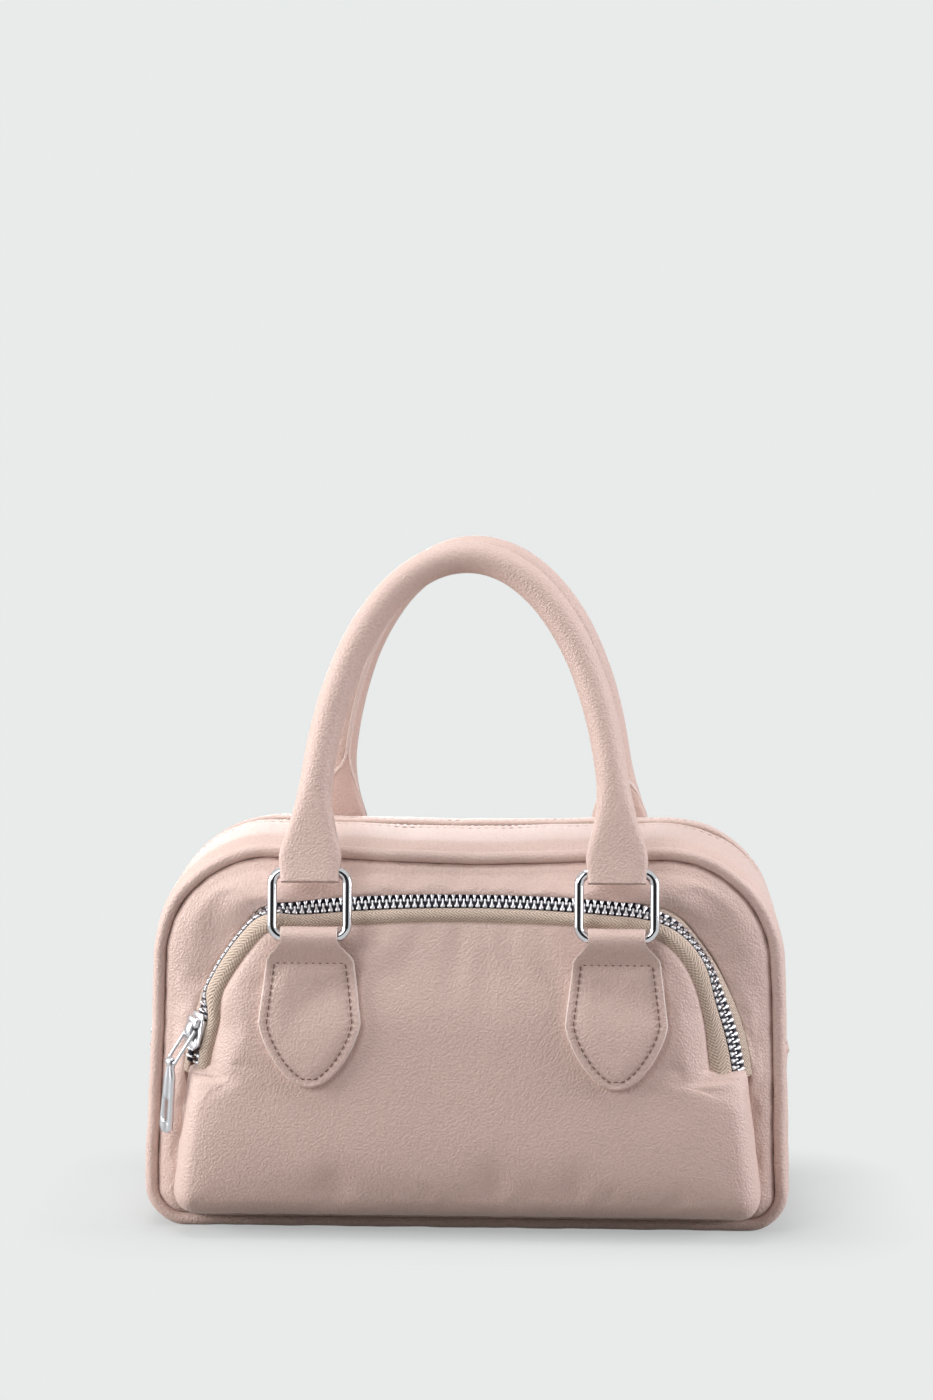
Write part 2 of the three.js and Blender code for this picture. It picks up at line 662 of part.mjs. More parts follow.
// The wedge that parts the two rows
function sliderPost() {
  const { half, tip, end } = SLIDER_POST;
  const wedge = new THREE.Shape();
  wedge.moveTo(0, tip);
  wedge.quadraticCurveTo(half, tip - 1, half, end);
  wedge.lineTo(-half, end);
  wedge.quadraticCurveTo(-half, tip - 1, 0, tip);
  const depth = 2 * SLIDER_INSIDE + SLIDER.plate;
  const post = new THREE.ExtrudeGeometry(wedge, { depth, bevelEnabled: false, curveSegments: 3 });
  return post.translate(0, 0, -depth / 2);
}

function sliderLip(side) {
  const { thick, length, depth, across } = SLIDER_LIP;
  const lip = new THREE.BoxGeometry(thick, length, depth);
  return lip.translate(side * across, 0, SLIDER_INSIDE - depth / 4);
}

// The bridge that the pull link hangs on
function sliderBridge() {
  const { half, height, width, bar } = SLIDER_BRIDGE;
  const inner = half - bar;
  const arch = new THREE.Shape();
  arch.moveTo(-half, 0);
  arch.bezierCurveTo(-half, height, half, height, half, 0);
  arch.lineTo(inner, 0);
  arch.bezierCurveTo(inner, height - bar, -inner, height - bar, -inner, 0);
  const bridge = new THREE.ExtrudeGeometry(arch, { depth: width, bevelEnabled: false, curveSegments: 6 });
  bridge.rotateY(Math.PI / 2).rotateX(Math.PI / 2);
  return bridge.translate(-width / 2, 0, SLIDER_INSIDE + SLIDER.plate - GAP / 2);
}

function roundedLoop(halfWidth, height, corner, steps) {
  const quarter = Math.PI / 2;
  const [low, high, side] = [corner, height - corner, halfWidth - corner];
  return makePath([
    arc(-side, high, corner, 2 * quarter, quarter, steps),
    run({ x: -side, z: height }, { x: side, z: height, nx: 0, nz: 1 }),
    arc(side, high, corner, quarter, 0, steps),
    run({ x: halfWidth, z: high }, { x: halfWidth, z: low, nx: 1, nz: 0 }),
    arc(side, low, corner, 0, -quarter, steps),
    run({ x: side, z: 0 }, { x: -side, z: 0, nx: 0, nz: -1 }),
    arc(-side, low, corner, -quarter, -2 * quarter, steps),
    run({ x: -halfWidth, z: low }, { x: -halfWidth, z: high, nx: -1, nz: 0 }),
  ]);
}

// Round wire bent to a closed rounded rectangle that stands on its lower bar, the X axis
function wireLoop(halfWidth, height, corner, wire, sides, steps) {
  const path = roundedLoop(halfWidth, height, corner, steps);
  const section = [];
  for (let i = 0; i < sides; i += 1) {
    const angle = (2 * Math.PI * (i + 0.5)) / sides;
    section.push([wire * Math.cos(angle), wire * Math.sin(angle)]);
  }
  const stations = path.between(0, path.length).slice(0, -1);
  return band(stations, () => section, true).rotateX(-Math.PI / 2);
}

// Two-armed link; its upper bar is the axis it swings on
function pullLink() {
  return wireLoop(LINK_HALF_WIDTH, LINK_LENGTH, LINK_CORNER, LINK_WIRE, 6, 2).translate(0, -LINK_LENGTH, 0);
}

// Flat tab with a slot near its end, hung on the link by a barrel; the barrel is its axis
function pullTab() {
  const { neck, shoulder, halfWidth, length, round, thick, bevel } = PULL;
  const { top, bottom, topHalf, bottomHalf } = PULL_SLOT;
  const shape = new THREE.Shape();
  shape.moveTo(-neck, 0);
  shape.lineTo(neck, 0);
  shape.quadraticCurveTo(neck, -round, shoulder, -1.5 * round);
  shape.lineTo(halfWidth, round - length);
  shape.quadraticCurveTo(halfWidth, -length, 0, -length);
  shape.quadraticCurveTo(-halfWidth, -length, -halfWidth, round - length);
  shape.lineTo(-shoulder, -1.5 * round);
  shape.quadraticCurveTo(-neck, -round, -neck, 0);
  const slot = new THREE.Path();
  slot.moveTo(-topHalf, -top);
  slot.lineTo(-bottomHalf, -bottom);
  slot.lineTo(bottomHalf, -bottom);
  slot.lineTo(topHalf, -top);
  shape.holes.push(slot);
  const plate = new THREE.ExtrudeGeometry(shape, {
    depth: thick - 2 * bevel,
    bevelEnabled: true,
    bevelThickness: bevel,
    bevelSize: bevel,
    bevelOffset: -bevel,
    bevelSegments: 1,
    curveSegments: 4,
  });
  plate.translate(0, 0, bevel - thick / 2);
  const drum = new THREE.CylinderGeometry(PULL_BARREL, PULL_BARREL, 2 * neck, 12).rotateZ(Math.PI / 2);
  const boreRadius = LINK_WIRE + GAP;
  const bore = new THREE.CylinderGeometry(boreRadius, boreRadius, 4 * neck, 8).rotateZ(Math.PI / 2);
  return fromSolid(cutBy(joined(plate, drum), bore));
}

// Frames: a matrix whose x, y and z axes are across, along and out

function frameOf(origin, across, along) {
  const out = new THREE.Vector3().crossVectors(across, along);
  return new THREE.Matrix4().makeBasis(across, along, out).setPosition(origin);
}

function chainFrame(path, s, placeAt) {
  const place = path.at(s);
  const middle = placeAt(place, 0, 0);
  const out = placeAt(place, 0, 1).sub(middle).normalize();
  const along = placeAt(path.at(s + 0.5), 0, 0).sub(placeAt(path.at(s - 0.5), 0, 0)).normalize();
  const across = new THREE.Vector3().crossVectors(along, out).normalize();
  return frameOf(middle, across, along);
}

// The link leans out from the slider; the tab hangs straight down from the link
function pullFrames(slider, linkLift) {
  const link = slider.clone()
    .multiply(new THREE.Matrix4().makeTranslation(0, 0, LINK_HEIGHT))
    .multiply(new THREE.Matrix4().makeRotationX(-linkLift));
  const foot = new THREE.Vector3(0, -LINK_LENGTH, 0).applyMatrix4(link);
  const across = new THREE.Vector3().setFromMatrixColumn(link, 0);
  const up = new THREE.Vector3(0, 0, 1);
  up.addScaledVector(across, -up.dot(across)).normalize();
  const tab = frameOf(foot, across, up);
  return { link, tab };
}

const pocketSliderFrame = chainFrame(pocket, pocketSliderRun, onPocketChain);
const pocketPull = pullFrames(pocketSliderFrame, POCKET_LINK_LIFT);
const mainSliderFrame = chainFrame(body, mainSliderRun, onMainChain);
const mainPull = pullFrames(mainSliderFrame, MAIN_LINK_LIFT);

// Tabs, rings and handles. A carrier is one side of the bag: front or back

function carrier(tabTilt, ringLean, axisY, face) {
  const across = new THREE.Vector3(-face, 0, 0);
  const upward = (lean) => new THREE.Vector3(0, -face * Math.sin(lean), Math.cos(lean));
  const axis = new THREE.Vector3(0, axisY, RING_AXIS_Z);
  const ring = frameOf(axis, across, upward(ringLean));
  const ringTop = new THREE.Vector3(0, RING_HEIGHT, 0).applyMatrix4(ring);
  const handle = frameOf(ringTop, across, upward(HANDLE_LEAN));
  return { tab: frameOf(axis, across, upward(tabTilt)), ring, handle, across };
}

const tabBackDepth = bellyDepth(RING_AXIS_Z) + GAP / Math.cos(BELLY_TILT);
const frontCarrier = carrier(BELLY_TILT, FRONT_RING_LEAN, -FRONT_FACE - tabBackDepth - LOOP_RADIUS, -1);
const backCarrier = carrier(0, 0, BACK_FACE + GAP + LOOP_RADIUS, 1);

function onCarrier(geometry, frame, x) {
  const shift = new THREE.Matrix4().makeTranslation(x, 0, 0);
  return geometry.applyMatrix4(frame.clone().multiply(shift));
}

// Leather shield with a folded loop at its top; x across, y up from the ring's bar, z out
function ringTab() {
  const { strap, thick, shoulder, hip, tip } = TAB;
  const outlineHalf = (side) => [
    new THREE.CubicBezierCurve(
      new THREE.Vector2(side * strap, 0),
      new THREE.Vector2(side * (strap + 0.7), 0.4 * shoulder.y),
      new THREE.Vector2(side * (strap + 3), 0.7 * shoulder.y),
      new THREE.Vector2(side * (shoulder.x - 1.2), shoulder.y),
    ),
    new THREE.QuadraticBezierCurve(
      new THREE.Vector2(side * (shoulder.x - 1.2), shoulder.y),
      new THREE.Vector2(side * (shoulder.x - 0.1), shoulder.y - 1.4),
      new THREE.Vector2(side * shoulder.x, shoulder.y - 3.6),
    ),
    new THREE.CubicBezierCurve(
      new THREE.Vector2(side * hip.x, hip.y),
      new THREE.Vector2(side * (hip.x - 0.5), hip.y - hip.turn),
      new THREE.Vector2(side * tip.turn, tip.y),
      new THREE.Vector2(0, tip.y),
    ),
  ];
  const right = outlineHalf(1).flatMap((curve) => curve.getPoints(6));
  const left = outlineHalf(-1).flatMap((curve) => curve.getPoints(6)).reverse();
  const shield = new THREE.Shape([...right, ...left.slice(1)]);
  const leaf = new THREE.ExtrudeGeometry(shield, { depth: thick, bevelEnabled: false, curveSegments: 4 });
  leaf.translate(0, 0, -LOOP_RADIUS);
  const fold = new THREE.Shape();
  fold.absarc(0, 0, LOOP_RADIUS, -0.35 * Math.PI, Math.PI / 2);
  fold.absarc(0, 0, LOOP_RADIUS, Math.PI / 2, Math.PI);
  fold.lineTo(-LOOP_RADIUS, -8);
  fold.lineTo(thick - LOOP_RADIUS - 0.1, -8);
  const loop = new THREE.ExtrudeGeometry(fold, { depth: 2 * strap, bevelEnabled: false, curveSegments: 5 });
  loop.translate(0, 0, -strap).rotateY(-Math.PI / 2);
  const bore = new THREE.CylinderGeometry(LOOP_BORE, LOOP_BORE, 4 * strap, 12).rotateZ(Math.PI / 2);
  return fromSolid(cutBy(joined(leaf, loop), bore));
}

function ring() {
  return wireLoop(RING_HALF_WIDTH, RING_HEIGHT, RING_CORNER, RING_WIRE, 8, 4);
}

// Handle: an arch whose flat looped ends swell and then roll into a tube

function handleCentre(t) {
  const rise = HANDLE_RISE * Math.sin(t) ** HANDLE_ROUNDNESS;
  return new THREE.Vector3(HANDLE_SPAN * Math.cos(t), rise, 0);
}

function handleParameter(rise) {
  return Math.asin((rise / HANDLE_RISE) ** (1 / HANDLE_ROUNDNESS));
}

// Width, thickness and squareness of the handle at a height above the ring's bar
function handleSection(rise) {
  const flat = 1 - smooth(rise / HANDLE_END.blend);
  const swell = Math.exp(-(((rise - HANDLE_END.swellAt) / HANDLE_END.swellAt) ** 2));
  const tube = 2 * TUBE_RADIUS;
  const width = tube + (HANDLE_END.width - tube) * flat + HANDLE_END.swell * swell;
  const loop = 2 * Math.sqrt(LOOP_RADIUS ** 2 - Math.min(rise, 0) ** 2);
  const thickness = loop + (tube - 2 * LOOP_RADIUS) * (1 - flat);
  return { width, thickness, squareness: 2 + 3 * flat };
}

function handleRing(centre, sideways, section, sides) {
  const power = 2 / section.squareness;
  const bulge = (value) => Math.sign(value) * Math.abs(value) ** power;
  const points = [];
  for (let i = 0; i < sides; i += 1) {
    const angle = (2 * Math.PI * (i + 0.5)) / sides;
    const point = centre.clone().addScaledVector(sideways, (section.width / 2) * bulge(Math.cos(angle)));
    point.z += (section.thickness / 2) * bulge(Math.sin(angle));
    points.push(point);
  }
  return points;
}

function handleRings(parameters, sides, sectionAt) {
  const step = 0.01;
  return parameters.map((t) => {
    const before = handleCentre(Math.max(t - step, 0));
    const ahead = handleCentre(Math.min(t + step, Math.PI)).sub(before).normalize();
    const centre = handleCentre(t);
    return handleRing(centre, new THREE.Vector3(ahead.y, -ahead.x, 0), sectionAt(centre.y), sides);
  });
}

function evenParameters(from, steps) {
  return Array.from({ length: steps + 1 }, (_, i) => from + ((Math.PI - 2 * from) * i) / steps);
}

function roundSection(radius) {
  return () => ({ width: 2 * radius, thickness: 2 * radius, squareness: 2 });
}

// The rolled leather: hollow for its core, a bore at each end for the ring, and the slit between
// the two leaves of each flat end
function handleCover() {
  const sides = 10;
  const bottom = (side) => [-0.99, -0.85, -0.5].map((share) => {
    const drop = share * LOOP_RADIUS;
    const centre = new THREE.Vector3(side * HANDLE_SPAN, drop, 0);
    return handleRing(centre, new THREE.Vector3(side, 0, 0), handleSection(drop), sides);
  });
  const feet = [0, 3, 6, 10, 15, 21].map(handleParameter);
  const arch = evenParameters(handleParameter(CORE_START + 3), 14);
  const parameters = [...feet, ...arch, ...feet.map((t) => Math.PI - t).reverse()];
  const rings = handleRings(parameters, sides, handleSection);
  const shell = loft([...bottom(1), ...rings, ...bottom(-1).reverse()]);
  const cavityRadius = CORE_RADIUS + 2 * GAP;
  const hollow = evenParameters(handleParameter(CORE_START), 14);
  const cavity = loft(handleRings(hollow, 6, roundSection(cavityRadius)));
  const openings = [-1, 1].flatMap((side) => {
    const bore = new THREE.CylinderGeometry(LOOP_BORE, LOOP_BORE, 40, 10).rotateZ(Math.PI / 2);
    const slit = new THREE.BoxGeometry(4, CORE_START + 2, 0.8).translate(0, CORE_START / 2 + 1, 0);
    return [bore, slit].map((cutter) => cutter.translate(side * (HANDLE_SPAN - 0.4), 0, 0));
  });
  return fromSolid(cutBy(toSolid(shell), cavity, ...openings));
}

function handleCore() {
  const length = evenParameters(handleParameter(CORE_START + 1), 14);
  return loft(handleRings(length, 6, roundSection(CORE_RADIUS)));
}

// Materials and assembly

function material(color, roughness, metalness) {
  return new THREE.MeshStandardMaterial({ color, roughness, metalness });
}

const leather = () => material(LEATHER_COLOUR, 0.55, 0);
const fabric = () => material(FABRIC_COLOUR, 0.9, 0);
const metal = () => material(METAL_COLOUR, 0.2, 1);

const bag = new THREE.Group();
bag.name = 'crossbody_bag';

function addPart(name, geometry, look) {
  const mesh = new THREE.Mesh(geometry, look);
  mesh.name = name;
  bag.add(mesh);
}

addPart('front_panel', panel(-1, FRONT_FACE), leather());
addPart('back_panel', panel(1, BACK_FACE), leather());
addPart('base_gusset', baseGusset(), leather());
addPart('zip_strip_front', zipStrip(-1), leather());
addPart('zip_strip_back', zipStrip(1), leather());
addPart('front_piping', piping(-1), leather());
addPart('back_piping', piping(1), leather());
addPart('base_board', baseBoard(), material(BOARD_COLOUR, 0.8, 0));
addPart('lining', lining(), fabric());
addPart('pocket_facing', pocketFacing(), leather());
addPart('pocket_tape_upper', pocketTapeUpper(), fabric());
addPart('pocket_tape_lower', pocketTapeLower(), fabric());
addPart('pocket_teeth_upper', pocketTeeth(-1), metal());
addPart('pocket_teeth_lower', pocketTeeth(1), metal());
addPart('pocket_slider', sliderBody().applyMatrix4(pocketSliderFrame), metal());
addPart('pocket_pull_link', pullLink().applyMatrix4(pocketPull.link), metal());
addPart('pocket_pull_tab', pullTab().applyMatrix4(pocketPull.tab), metal());
addPart('main_tape_front', mainTape(-1), fabric());
addPart('main_tape_back', mainTape(1), fabric());
addPart('main_teeth_front', mainTeeth(-1), metal());
addPart('main_teeth_back', mainTeeth(1), metal());
addPart('main_slider', sliderBody().applyMatrix4(mainSliderFrame), metal());
addPart('main_pull_link', pullLink().applyMatrix4(mainPull.link), metal());
addPart('main_pull_tab', pullTab().applyMatrix4(mainPull.tab), metal());

for (const [face, frames] of [['front', frontCarrier], ['back', backCarrier]]) {
  for (const [hand, side] of [['left', -1], ['right', 1]]) {
    const x = side * frames.across.x * HANDLE_SPAN;
    addPart(`${face}_tab_${hand}`, onCarrier(ringTab(), frames.tab, x), leather());
    addPart(`${face}_ring_${hand}`, onCarrier(ring(), frames.ring, x), metal());
  }
  addPart(`${face}_handle`, onCarrier(handleCover(), frames.handle, 0), leather());
  addPart(`${face}_handle_core`, onCarrier(handleCore(), frames.handle, 0), material(CORE_COLOUR, 0.9, 0));
}

export default bag;
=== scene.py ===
import math
from math import radians
import bpy
import numpy as np
from mathutils import Matrix, Vector
from mathutils.bvhtree import BVHTree

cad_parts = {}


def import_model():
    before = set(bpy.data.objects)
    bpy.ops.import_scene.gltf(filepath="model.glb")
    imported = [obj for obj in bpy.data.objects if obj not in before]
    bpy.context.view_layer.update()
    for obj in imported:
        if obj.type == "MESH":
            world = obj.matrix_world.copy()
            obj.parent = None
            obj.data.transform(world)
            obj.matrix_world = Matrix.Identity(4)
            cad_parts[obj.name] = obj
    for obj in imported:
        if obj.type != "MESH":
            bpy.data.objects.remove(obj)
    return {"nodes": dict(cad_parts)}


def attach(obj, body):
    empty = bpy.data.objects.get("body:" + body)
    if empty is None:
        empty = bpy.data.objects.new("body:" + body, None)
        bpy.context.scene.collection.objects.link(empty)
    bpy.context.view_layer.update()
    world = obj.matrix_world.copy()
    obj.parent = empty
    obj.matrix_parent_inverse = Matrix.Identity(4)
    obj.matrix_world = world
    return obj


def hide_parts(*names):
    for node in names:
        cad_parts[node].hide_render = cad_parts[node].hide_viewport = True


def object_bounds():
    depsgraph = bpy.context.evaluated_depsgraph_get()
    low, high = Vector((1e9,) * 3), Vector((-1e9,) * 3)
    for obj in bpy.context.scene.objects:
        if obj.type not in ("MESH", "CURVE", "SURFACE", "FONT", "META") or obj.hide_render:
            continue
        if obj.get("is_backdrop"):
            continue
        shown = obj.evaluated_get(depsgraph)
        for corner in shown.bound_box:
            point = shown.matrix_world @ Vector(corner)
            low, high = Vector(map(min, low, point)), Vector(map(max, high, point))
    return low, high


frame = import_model()
cad_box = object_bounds()

# Sizes in millimetres
MM = 0.001
GAP = 0.3

# Body outline at the piped seams
SEAM_Y = 44.0
PIPING = {"radius": 2.3, "waver": 0.18, "waves": 21}
TOP_CORNER = {"x": 70.5, "z": 95.7, "radius": 40.0}
BASE_CORNER = {"x": 101.2, "z": 14.3, "radius": 12.0}
STRIP_SEAM_Z = 66.0
FRONT_FACE = 48.2
BACK_FACE = 49.2
TOP_DOME = {"rise": 4.0, "start": 0.25}
SLUMP = {"sag": 1.8, "from": 116.0, "run": 22.0, "middle": 8.0, "reach": 46.0, "top": 0.35, "side": 0.7}

# Gusset: how it rolls out of the seam, its stitched rows and the ripple of its leather
SIDE_CROWN = 3.3
GUSSET = {"thick": 1.8, "edge": 43.2, "roll": 10.5, "deep": 2.6, "power": 2.6, "inside": 41.6}
GUSSET_TUCK = (-7.0, -3.2)
GUSSET_ROLL_Y = [43.2, 43.2, *np.linspace(43.1, 33, 9)]
STRIP_STITCH = {"y": 12.0, "sunk": 0.3, "wide": 0.7}
STRIP_EDGE_Y = [12.6, 12.0, 11.4, 9.5, 7.8, 7.15, 6.95]
STRIP_RIPPLE = {"height": 0.22, "wave": 37.0, "from": 43.0, "run": 14.0}
BASE_RIPPLE = {"height": 0.3, "wave": 41.0, "from": 43.0, "run": 12.0}
BASE_FOLD = {"rise": 0.55, "from": 8.0, "run": 6.0, "edge": 0.5, "edge_run": 0.9, "stitch": 2.6}

# Panels: inset from the seam line and height over it where a panel rolls out from behind the piping
PANEL_EDGE = [(2.0, -1.0), (2.35, 0.0), (2.9, 1.3), (4.2, 2.6), (6.5, 3.5)]
PANEL_PUCKER = {"height": 0.25, "waves": 60, "until": 5.0}
BACK_CROWN = {"inset": 9.5, "rise": 0.9, "middle": 66.0, "half": (106.0, 58.0), "run": (60.0, 50.0)}
FRONT_RISE = {"shares": (0.1, 0.22, 0.36, 0.5, 0.64, 0.78, 0.9), "power": 1.6, "belly": 0.02, "room": 11.0}

# How far padding swells as cloth, how freely at the rings and out from them, and its share of fill
SWELL_FRONT = {"most": 1.2, "least": 0.15, "near": 6.0, "over": 26.0, "fill": 0.4}
SWELL_BACK = {"most": 1.6, "least": 0.15, "near": 6.0, "over": 26.0, "fill": 0.4}
SWELL_POCKET = {"most": 1.8, "least": 0.12, "near": 4.0, "over": 34.0, "fill": 0.55}
CLOTH_STEPS = 20
CLOTH = {
    "quality": 6, "mass": 0.2, "tension_stiffness": 20, "compression_stiffness": 20, "shear_stiffness": 8,
    "bending_stiffness": 14, "use_pressure": True, "uniform_pressure_force": 3.0, "shrink_min": -0.006,
}

# Zip chain
PITCH = 2.5
ROW_EDGE = 2.95
TOOTH_HALF = 1.3
TAPE_HALF = 0.35
TAPE_WIDTH = 8.0
MAIN_TAPE_END = 11.0
MAIN_CHAIN_OFFSET = SIDE_CROWN - GUSSET["thick"] - GAP - TAPE_HALF
MAIN_SLIDER_Z = 76.0
MAIN_SLIDER_AT = MAIN_SLIDER_Z - STRIP_SEAM_Z
TEETH_PARTED = {"across": 1.3, "from": 0.2, "until": 6.4}
TEETH_PAST_END = 1.5
TOOTH_SQUARENESS = 0.6
BEAD_STEP = 1.2
BEAD_SECTION = [(0.7, -0.45), (0.7, 0.45), (2.2, 0.6), (3.2, 0.55), (3.2, -0.55), (2.2, -0.6)]

# Reach over the chain, half width and half thickness of a tooth, from its foot on the tape to its head
TOOTH_PROFILE = [
    (2.98, 0.62, 1.0),
    (2.85, 0.82, 1.24),
    (2.4, 0.9, 1.3),
    (1.8, 0.74, 1.25),
    (1.2, 0.48, 1.16),
    (0.75, 0.36, 1.1),
    (0.3, 0.42, 1.08),
    (-0.15, 0.5, 1.05),
    (-0.55, 0.42, 0.95),
    (-0.72, 0.2, 0.6),
]

# Pocket outline and the ribbon of its zip
ARCH_SIDE = {"x": 9.2, "z": 49.6, "radius": 88.0}
ARCH_START = radians(7.3)
ARCH_SHOULDER = radians(42)
ARCH_CORNER_RADIUS = 25.0
ARCH_TOP = radians(84)
POCKET_CORNER = {"z": 15.0, "radius": 8.0}
TILT_TOP = radians(62)
TILT_LEFT = {"angle": radians(8), "lead": 0.0, "run": 30.0}
TILT_RIGHT = {"angle": radians(42), "lead": 20.0, "run": 25.0}
TILT_DIP = {"angle": radians(40), "at": 51.0, "run": 20.0}
TILT_SLIDER = {"angle": radians(38), "until": 16.0, "run": 14.0}
POCKET_SLIDER_ANGLE = radians(15.1)
POCKET_SLIDER_AT = ARCH_SIDE["radius"] * (POCKET_SLIDER_ANGLE - ARCH_START)
TAPE_WEB = {"least": 4.9, "more": 2.7}
SIDE_REACH = 3.0
TAPE_PAST_END = 4.0
TAPE_TURN = radians(78)
TAPE_BEND = 4.6
TAPE_SHOWN = {"front": 3.3, "side": 5.5, "end": 3.2, "end_run": 32.0}
TAPE_TUCK = 3.5
TAPE_ROLL = 1.7

# The front panel's edge by the zip: how far across it lies and stands out, its fold and its foot
ZIP_LIP = {"left": 5.3, "top": 1.9, "right": 7.2, "out": 0.6, "top_out": 1.55, "fade": 18.0}
LIP_RISE = {"from": 42.0, "run": 30.0}
LIP_FALL = {"from": 76.0, "run": 26.0}
LIP_FOLD = [(0, 0), (-0.25, -0.12), (-0.55, 0.2), (-1.0, 1.4)]
LIP_FOOT = (-0.3, 0.8)
LIP_HEM = {"depth": -0.4, "past": 3.0, "end": -1.0}

# Pocket facing: its belly, the roll down to the tape and the ledge where the tape ends
BELLY_TOP = {"z": 112.0, "depth": 13.2}
BELLY_TILT = radians(4.6)
BELLY_TUCK = {"deep": 3.0, "from": 42.0, "run": 33.0}
WALL_BULGE = {"left": 1.4, "right": 3.2, "from": 60.0, "run": 30.0}
WALL_ROLL = {"deep": 8.6, "run": 2.6}
TAPE_DROP = {"side": 9.0, "more": 31.0, "from": 84.0, "run": 44.0, "below": 2.0, "power": 2.2, "least": 0.4}
LEDGE = {"drop": 2.6, "run": 8.0, "above": 2.2, "seam": 2.4}
LEDGE_Z = ARCH_SIDE["z"] + ARCH_SIDE["radius"] * math.sin(ARCH_START) - LEDGE["drop"]
LEDGE_STOPS = {"before": 7.0, "past": 4.0}

# Rings of the facing along the arch: way past the shown tape and height, then insets with their waver
FACING_FOLD = [(-1.4, -1.0), (0.1, -0.3)]
FACING_INSETS = [(0.8, 1), (2.2, 1), (4.5, 0), (8.0, 0)]
FACING_WAVER = {"height": 0.3, "wave": 46.0}

# The same along the walls: depth, offset, share of the pucker and of the bulge, then insets
WALL_RINGS = [(0.2, -0.6, 0.0, 0.3), (3.0, 0.1, 1.0, 0.8), (8.0, 0.5, 0.6, 1.0)]
WALL_INSETS = [0.9, 2.6, 5.4]
WALL_PUCKER = {"height": 0.3, "wave": 17.0}

# Where each ring of the facing leaves the tape for the wall, and over how long a way
LEDGE_RISE = [0.4, 0.2, -0.2, -1.0, -3.5, -6.5]
LEDGE_RUN = [2.4, 2.4, 2.4, 4.0, 8.0, 13.0]

# Sliders, in a frame of x across the chain, y along it and z out
SLIDER_INSIDE = TOOTH_HALF + 0.45
SLIDER_PLATE = 1.0
SLIDER_TOP = SLIDER_INSIDE + SLIDER_PLATE
SLIDER = {"half": 6.5, "width": 3.5, "flare": 1.4, "tail": 1.9, "nose": 1.0, "nose_share": 0.06}
SLIDER_SOFT = 0.35
SLIDER_POST = {"width": 1.3, "length": 1.7, "at": -3.6, "soft": 0.1}
SLIDER_LIP = {"low": 0.9, "high": 0.4, "soft": 0.12}
SLIDER_LIP_OUTLINE = [(3.55, -3.6), (4.25, -3.6), (4.1, 4.4), (3.5, 4.4)]
BRIDGE = {"outer": (4.1, 3.1), "inner": (2.9, 2.1), "half": 1.8, "power": 0.8, "sunk": 0.25, "soft": 0.3}
SLIDER_CAP = {"width": 3.2, "length": 2.0, "at": 2.9, "sunk": 0.2, "high": 1.9, "soft": 0.8}

# Pulls
LINK_WIRE = 0.65
LINK_LENGTH = 13.5
LINK_HALF_WIDTH = 2.6
LINK_CORNER = 1.2
LINK_HEIGHT = SLIDER_TOP + 0.95
POCKET_LINK_LIFT = radians(21)
MAIN_LINK_LIFT = radians(8.5)
PULL = {"length": 26.0, "half_thick": 1.0, "soft": 0.4, "neck": 1.5, "body": 1.35, "flare": 0.75, "tip": 1.5}
PULL_WINDOW = {"from": 13.7, "to": 21.8, "half": 1.6}
PULL_BARREL = {"radius": 1.7, "bore": 0.95, "narrow": 1.53}

# Tabs and rings
HANDLE_SPAN = 54.0
RING_AXIS_Z = 108.0
RING_WIRE = 1.7
RING_HALF_WIDTH = 13.3
RING_HEIGHT = 23.2
RING_CORNER = 4.5
FRONT_RING_LEAN = radians(8)
LOOP_RADIUS = 3.8
STRAP_THICKNESS = 1.4
TAB_STRAP = 10.0
TAB_NECK = {"half": 15.5, "from": 0.5, "run": 8.5, "end": 9.0}
TAB_HIP = {"half": 18.1, "down": 30.0, "turn": 7.0, "pull": 0.5}
TAB_TIP = {"down": 53.0, "turn": 9.0}
TAB_NEAR_TIP = [0.01, 0.06, 0.15, 0.3, 0.55, 0.9, 1.4]
TAB_THICKNESS = 2.6
TAB_PUFF = {"rise": 0.55, "run": 5.0, "seam": 0.3, "seam_wide": 0.6, "cut": 0.4, "cut_wide": 0.7}
TAB_LEVEL = 11.0
TAB_STANDS_OFF = {"until": 22.0, "run": 16.0, "lift": 0.1}
TAB_RIM = 3
STITCH_INSET = 3.0
STITCH_TOP = 9.2
TAB_STITCH = {"length": 1.75, "pitch": 2.45, "radius": 0.24}
GUSSET_STITCH = {"length": 2.1, "pitch": 3.0, "radius": 0.3}

# Handles
HANDLE_LEAN = radians(13.9)
HANDLE_RISE = 113.0
HANDLE_ROUNDNESS = 0.9
TUBE_RADIUS = 5.4
HANDLE_END = {"width": 20.4, "swell": 2.0, "swell_at": 6.0, "blend": 42.0, "rise": 40.0}
HANDLE_PLUMP = {"more": 0.05, "from": 20.0, "run": 20.0}
HANDLE_RIPPLE = {"share": 0.012, "wave": 43.0}
HANDLE_SEAM = {"from": 9.0, "meets": 1.36, "apart": 0.09, "ends": 0.48, "parts": 36.0, "run": 26.0}
HANDLE_LOOP = {"bore": 2.3, "half": 20.0, "slit": (1.0, 20.0), "slit_half": 0.4}
ROLLED_EDGE = [(-0.5, -0.4), (-0.5, 0.2), (0, 0.38), (0.5, 0.2), (0.5, -0.4)]

# Lining
LINING = {"inset": 3.4, "half_depth": 40.6, "slack": 0.8, "waver": 0.5}
LINING_BANDS = [(40.6, 40), (28, 28), (17, 17), (6.3, 6)]

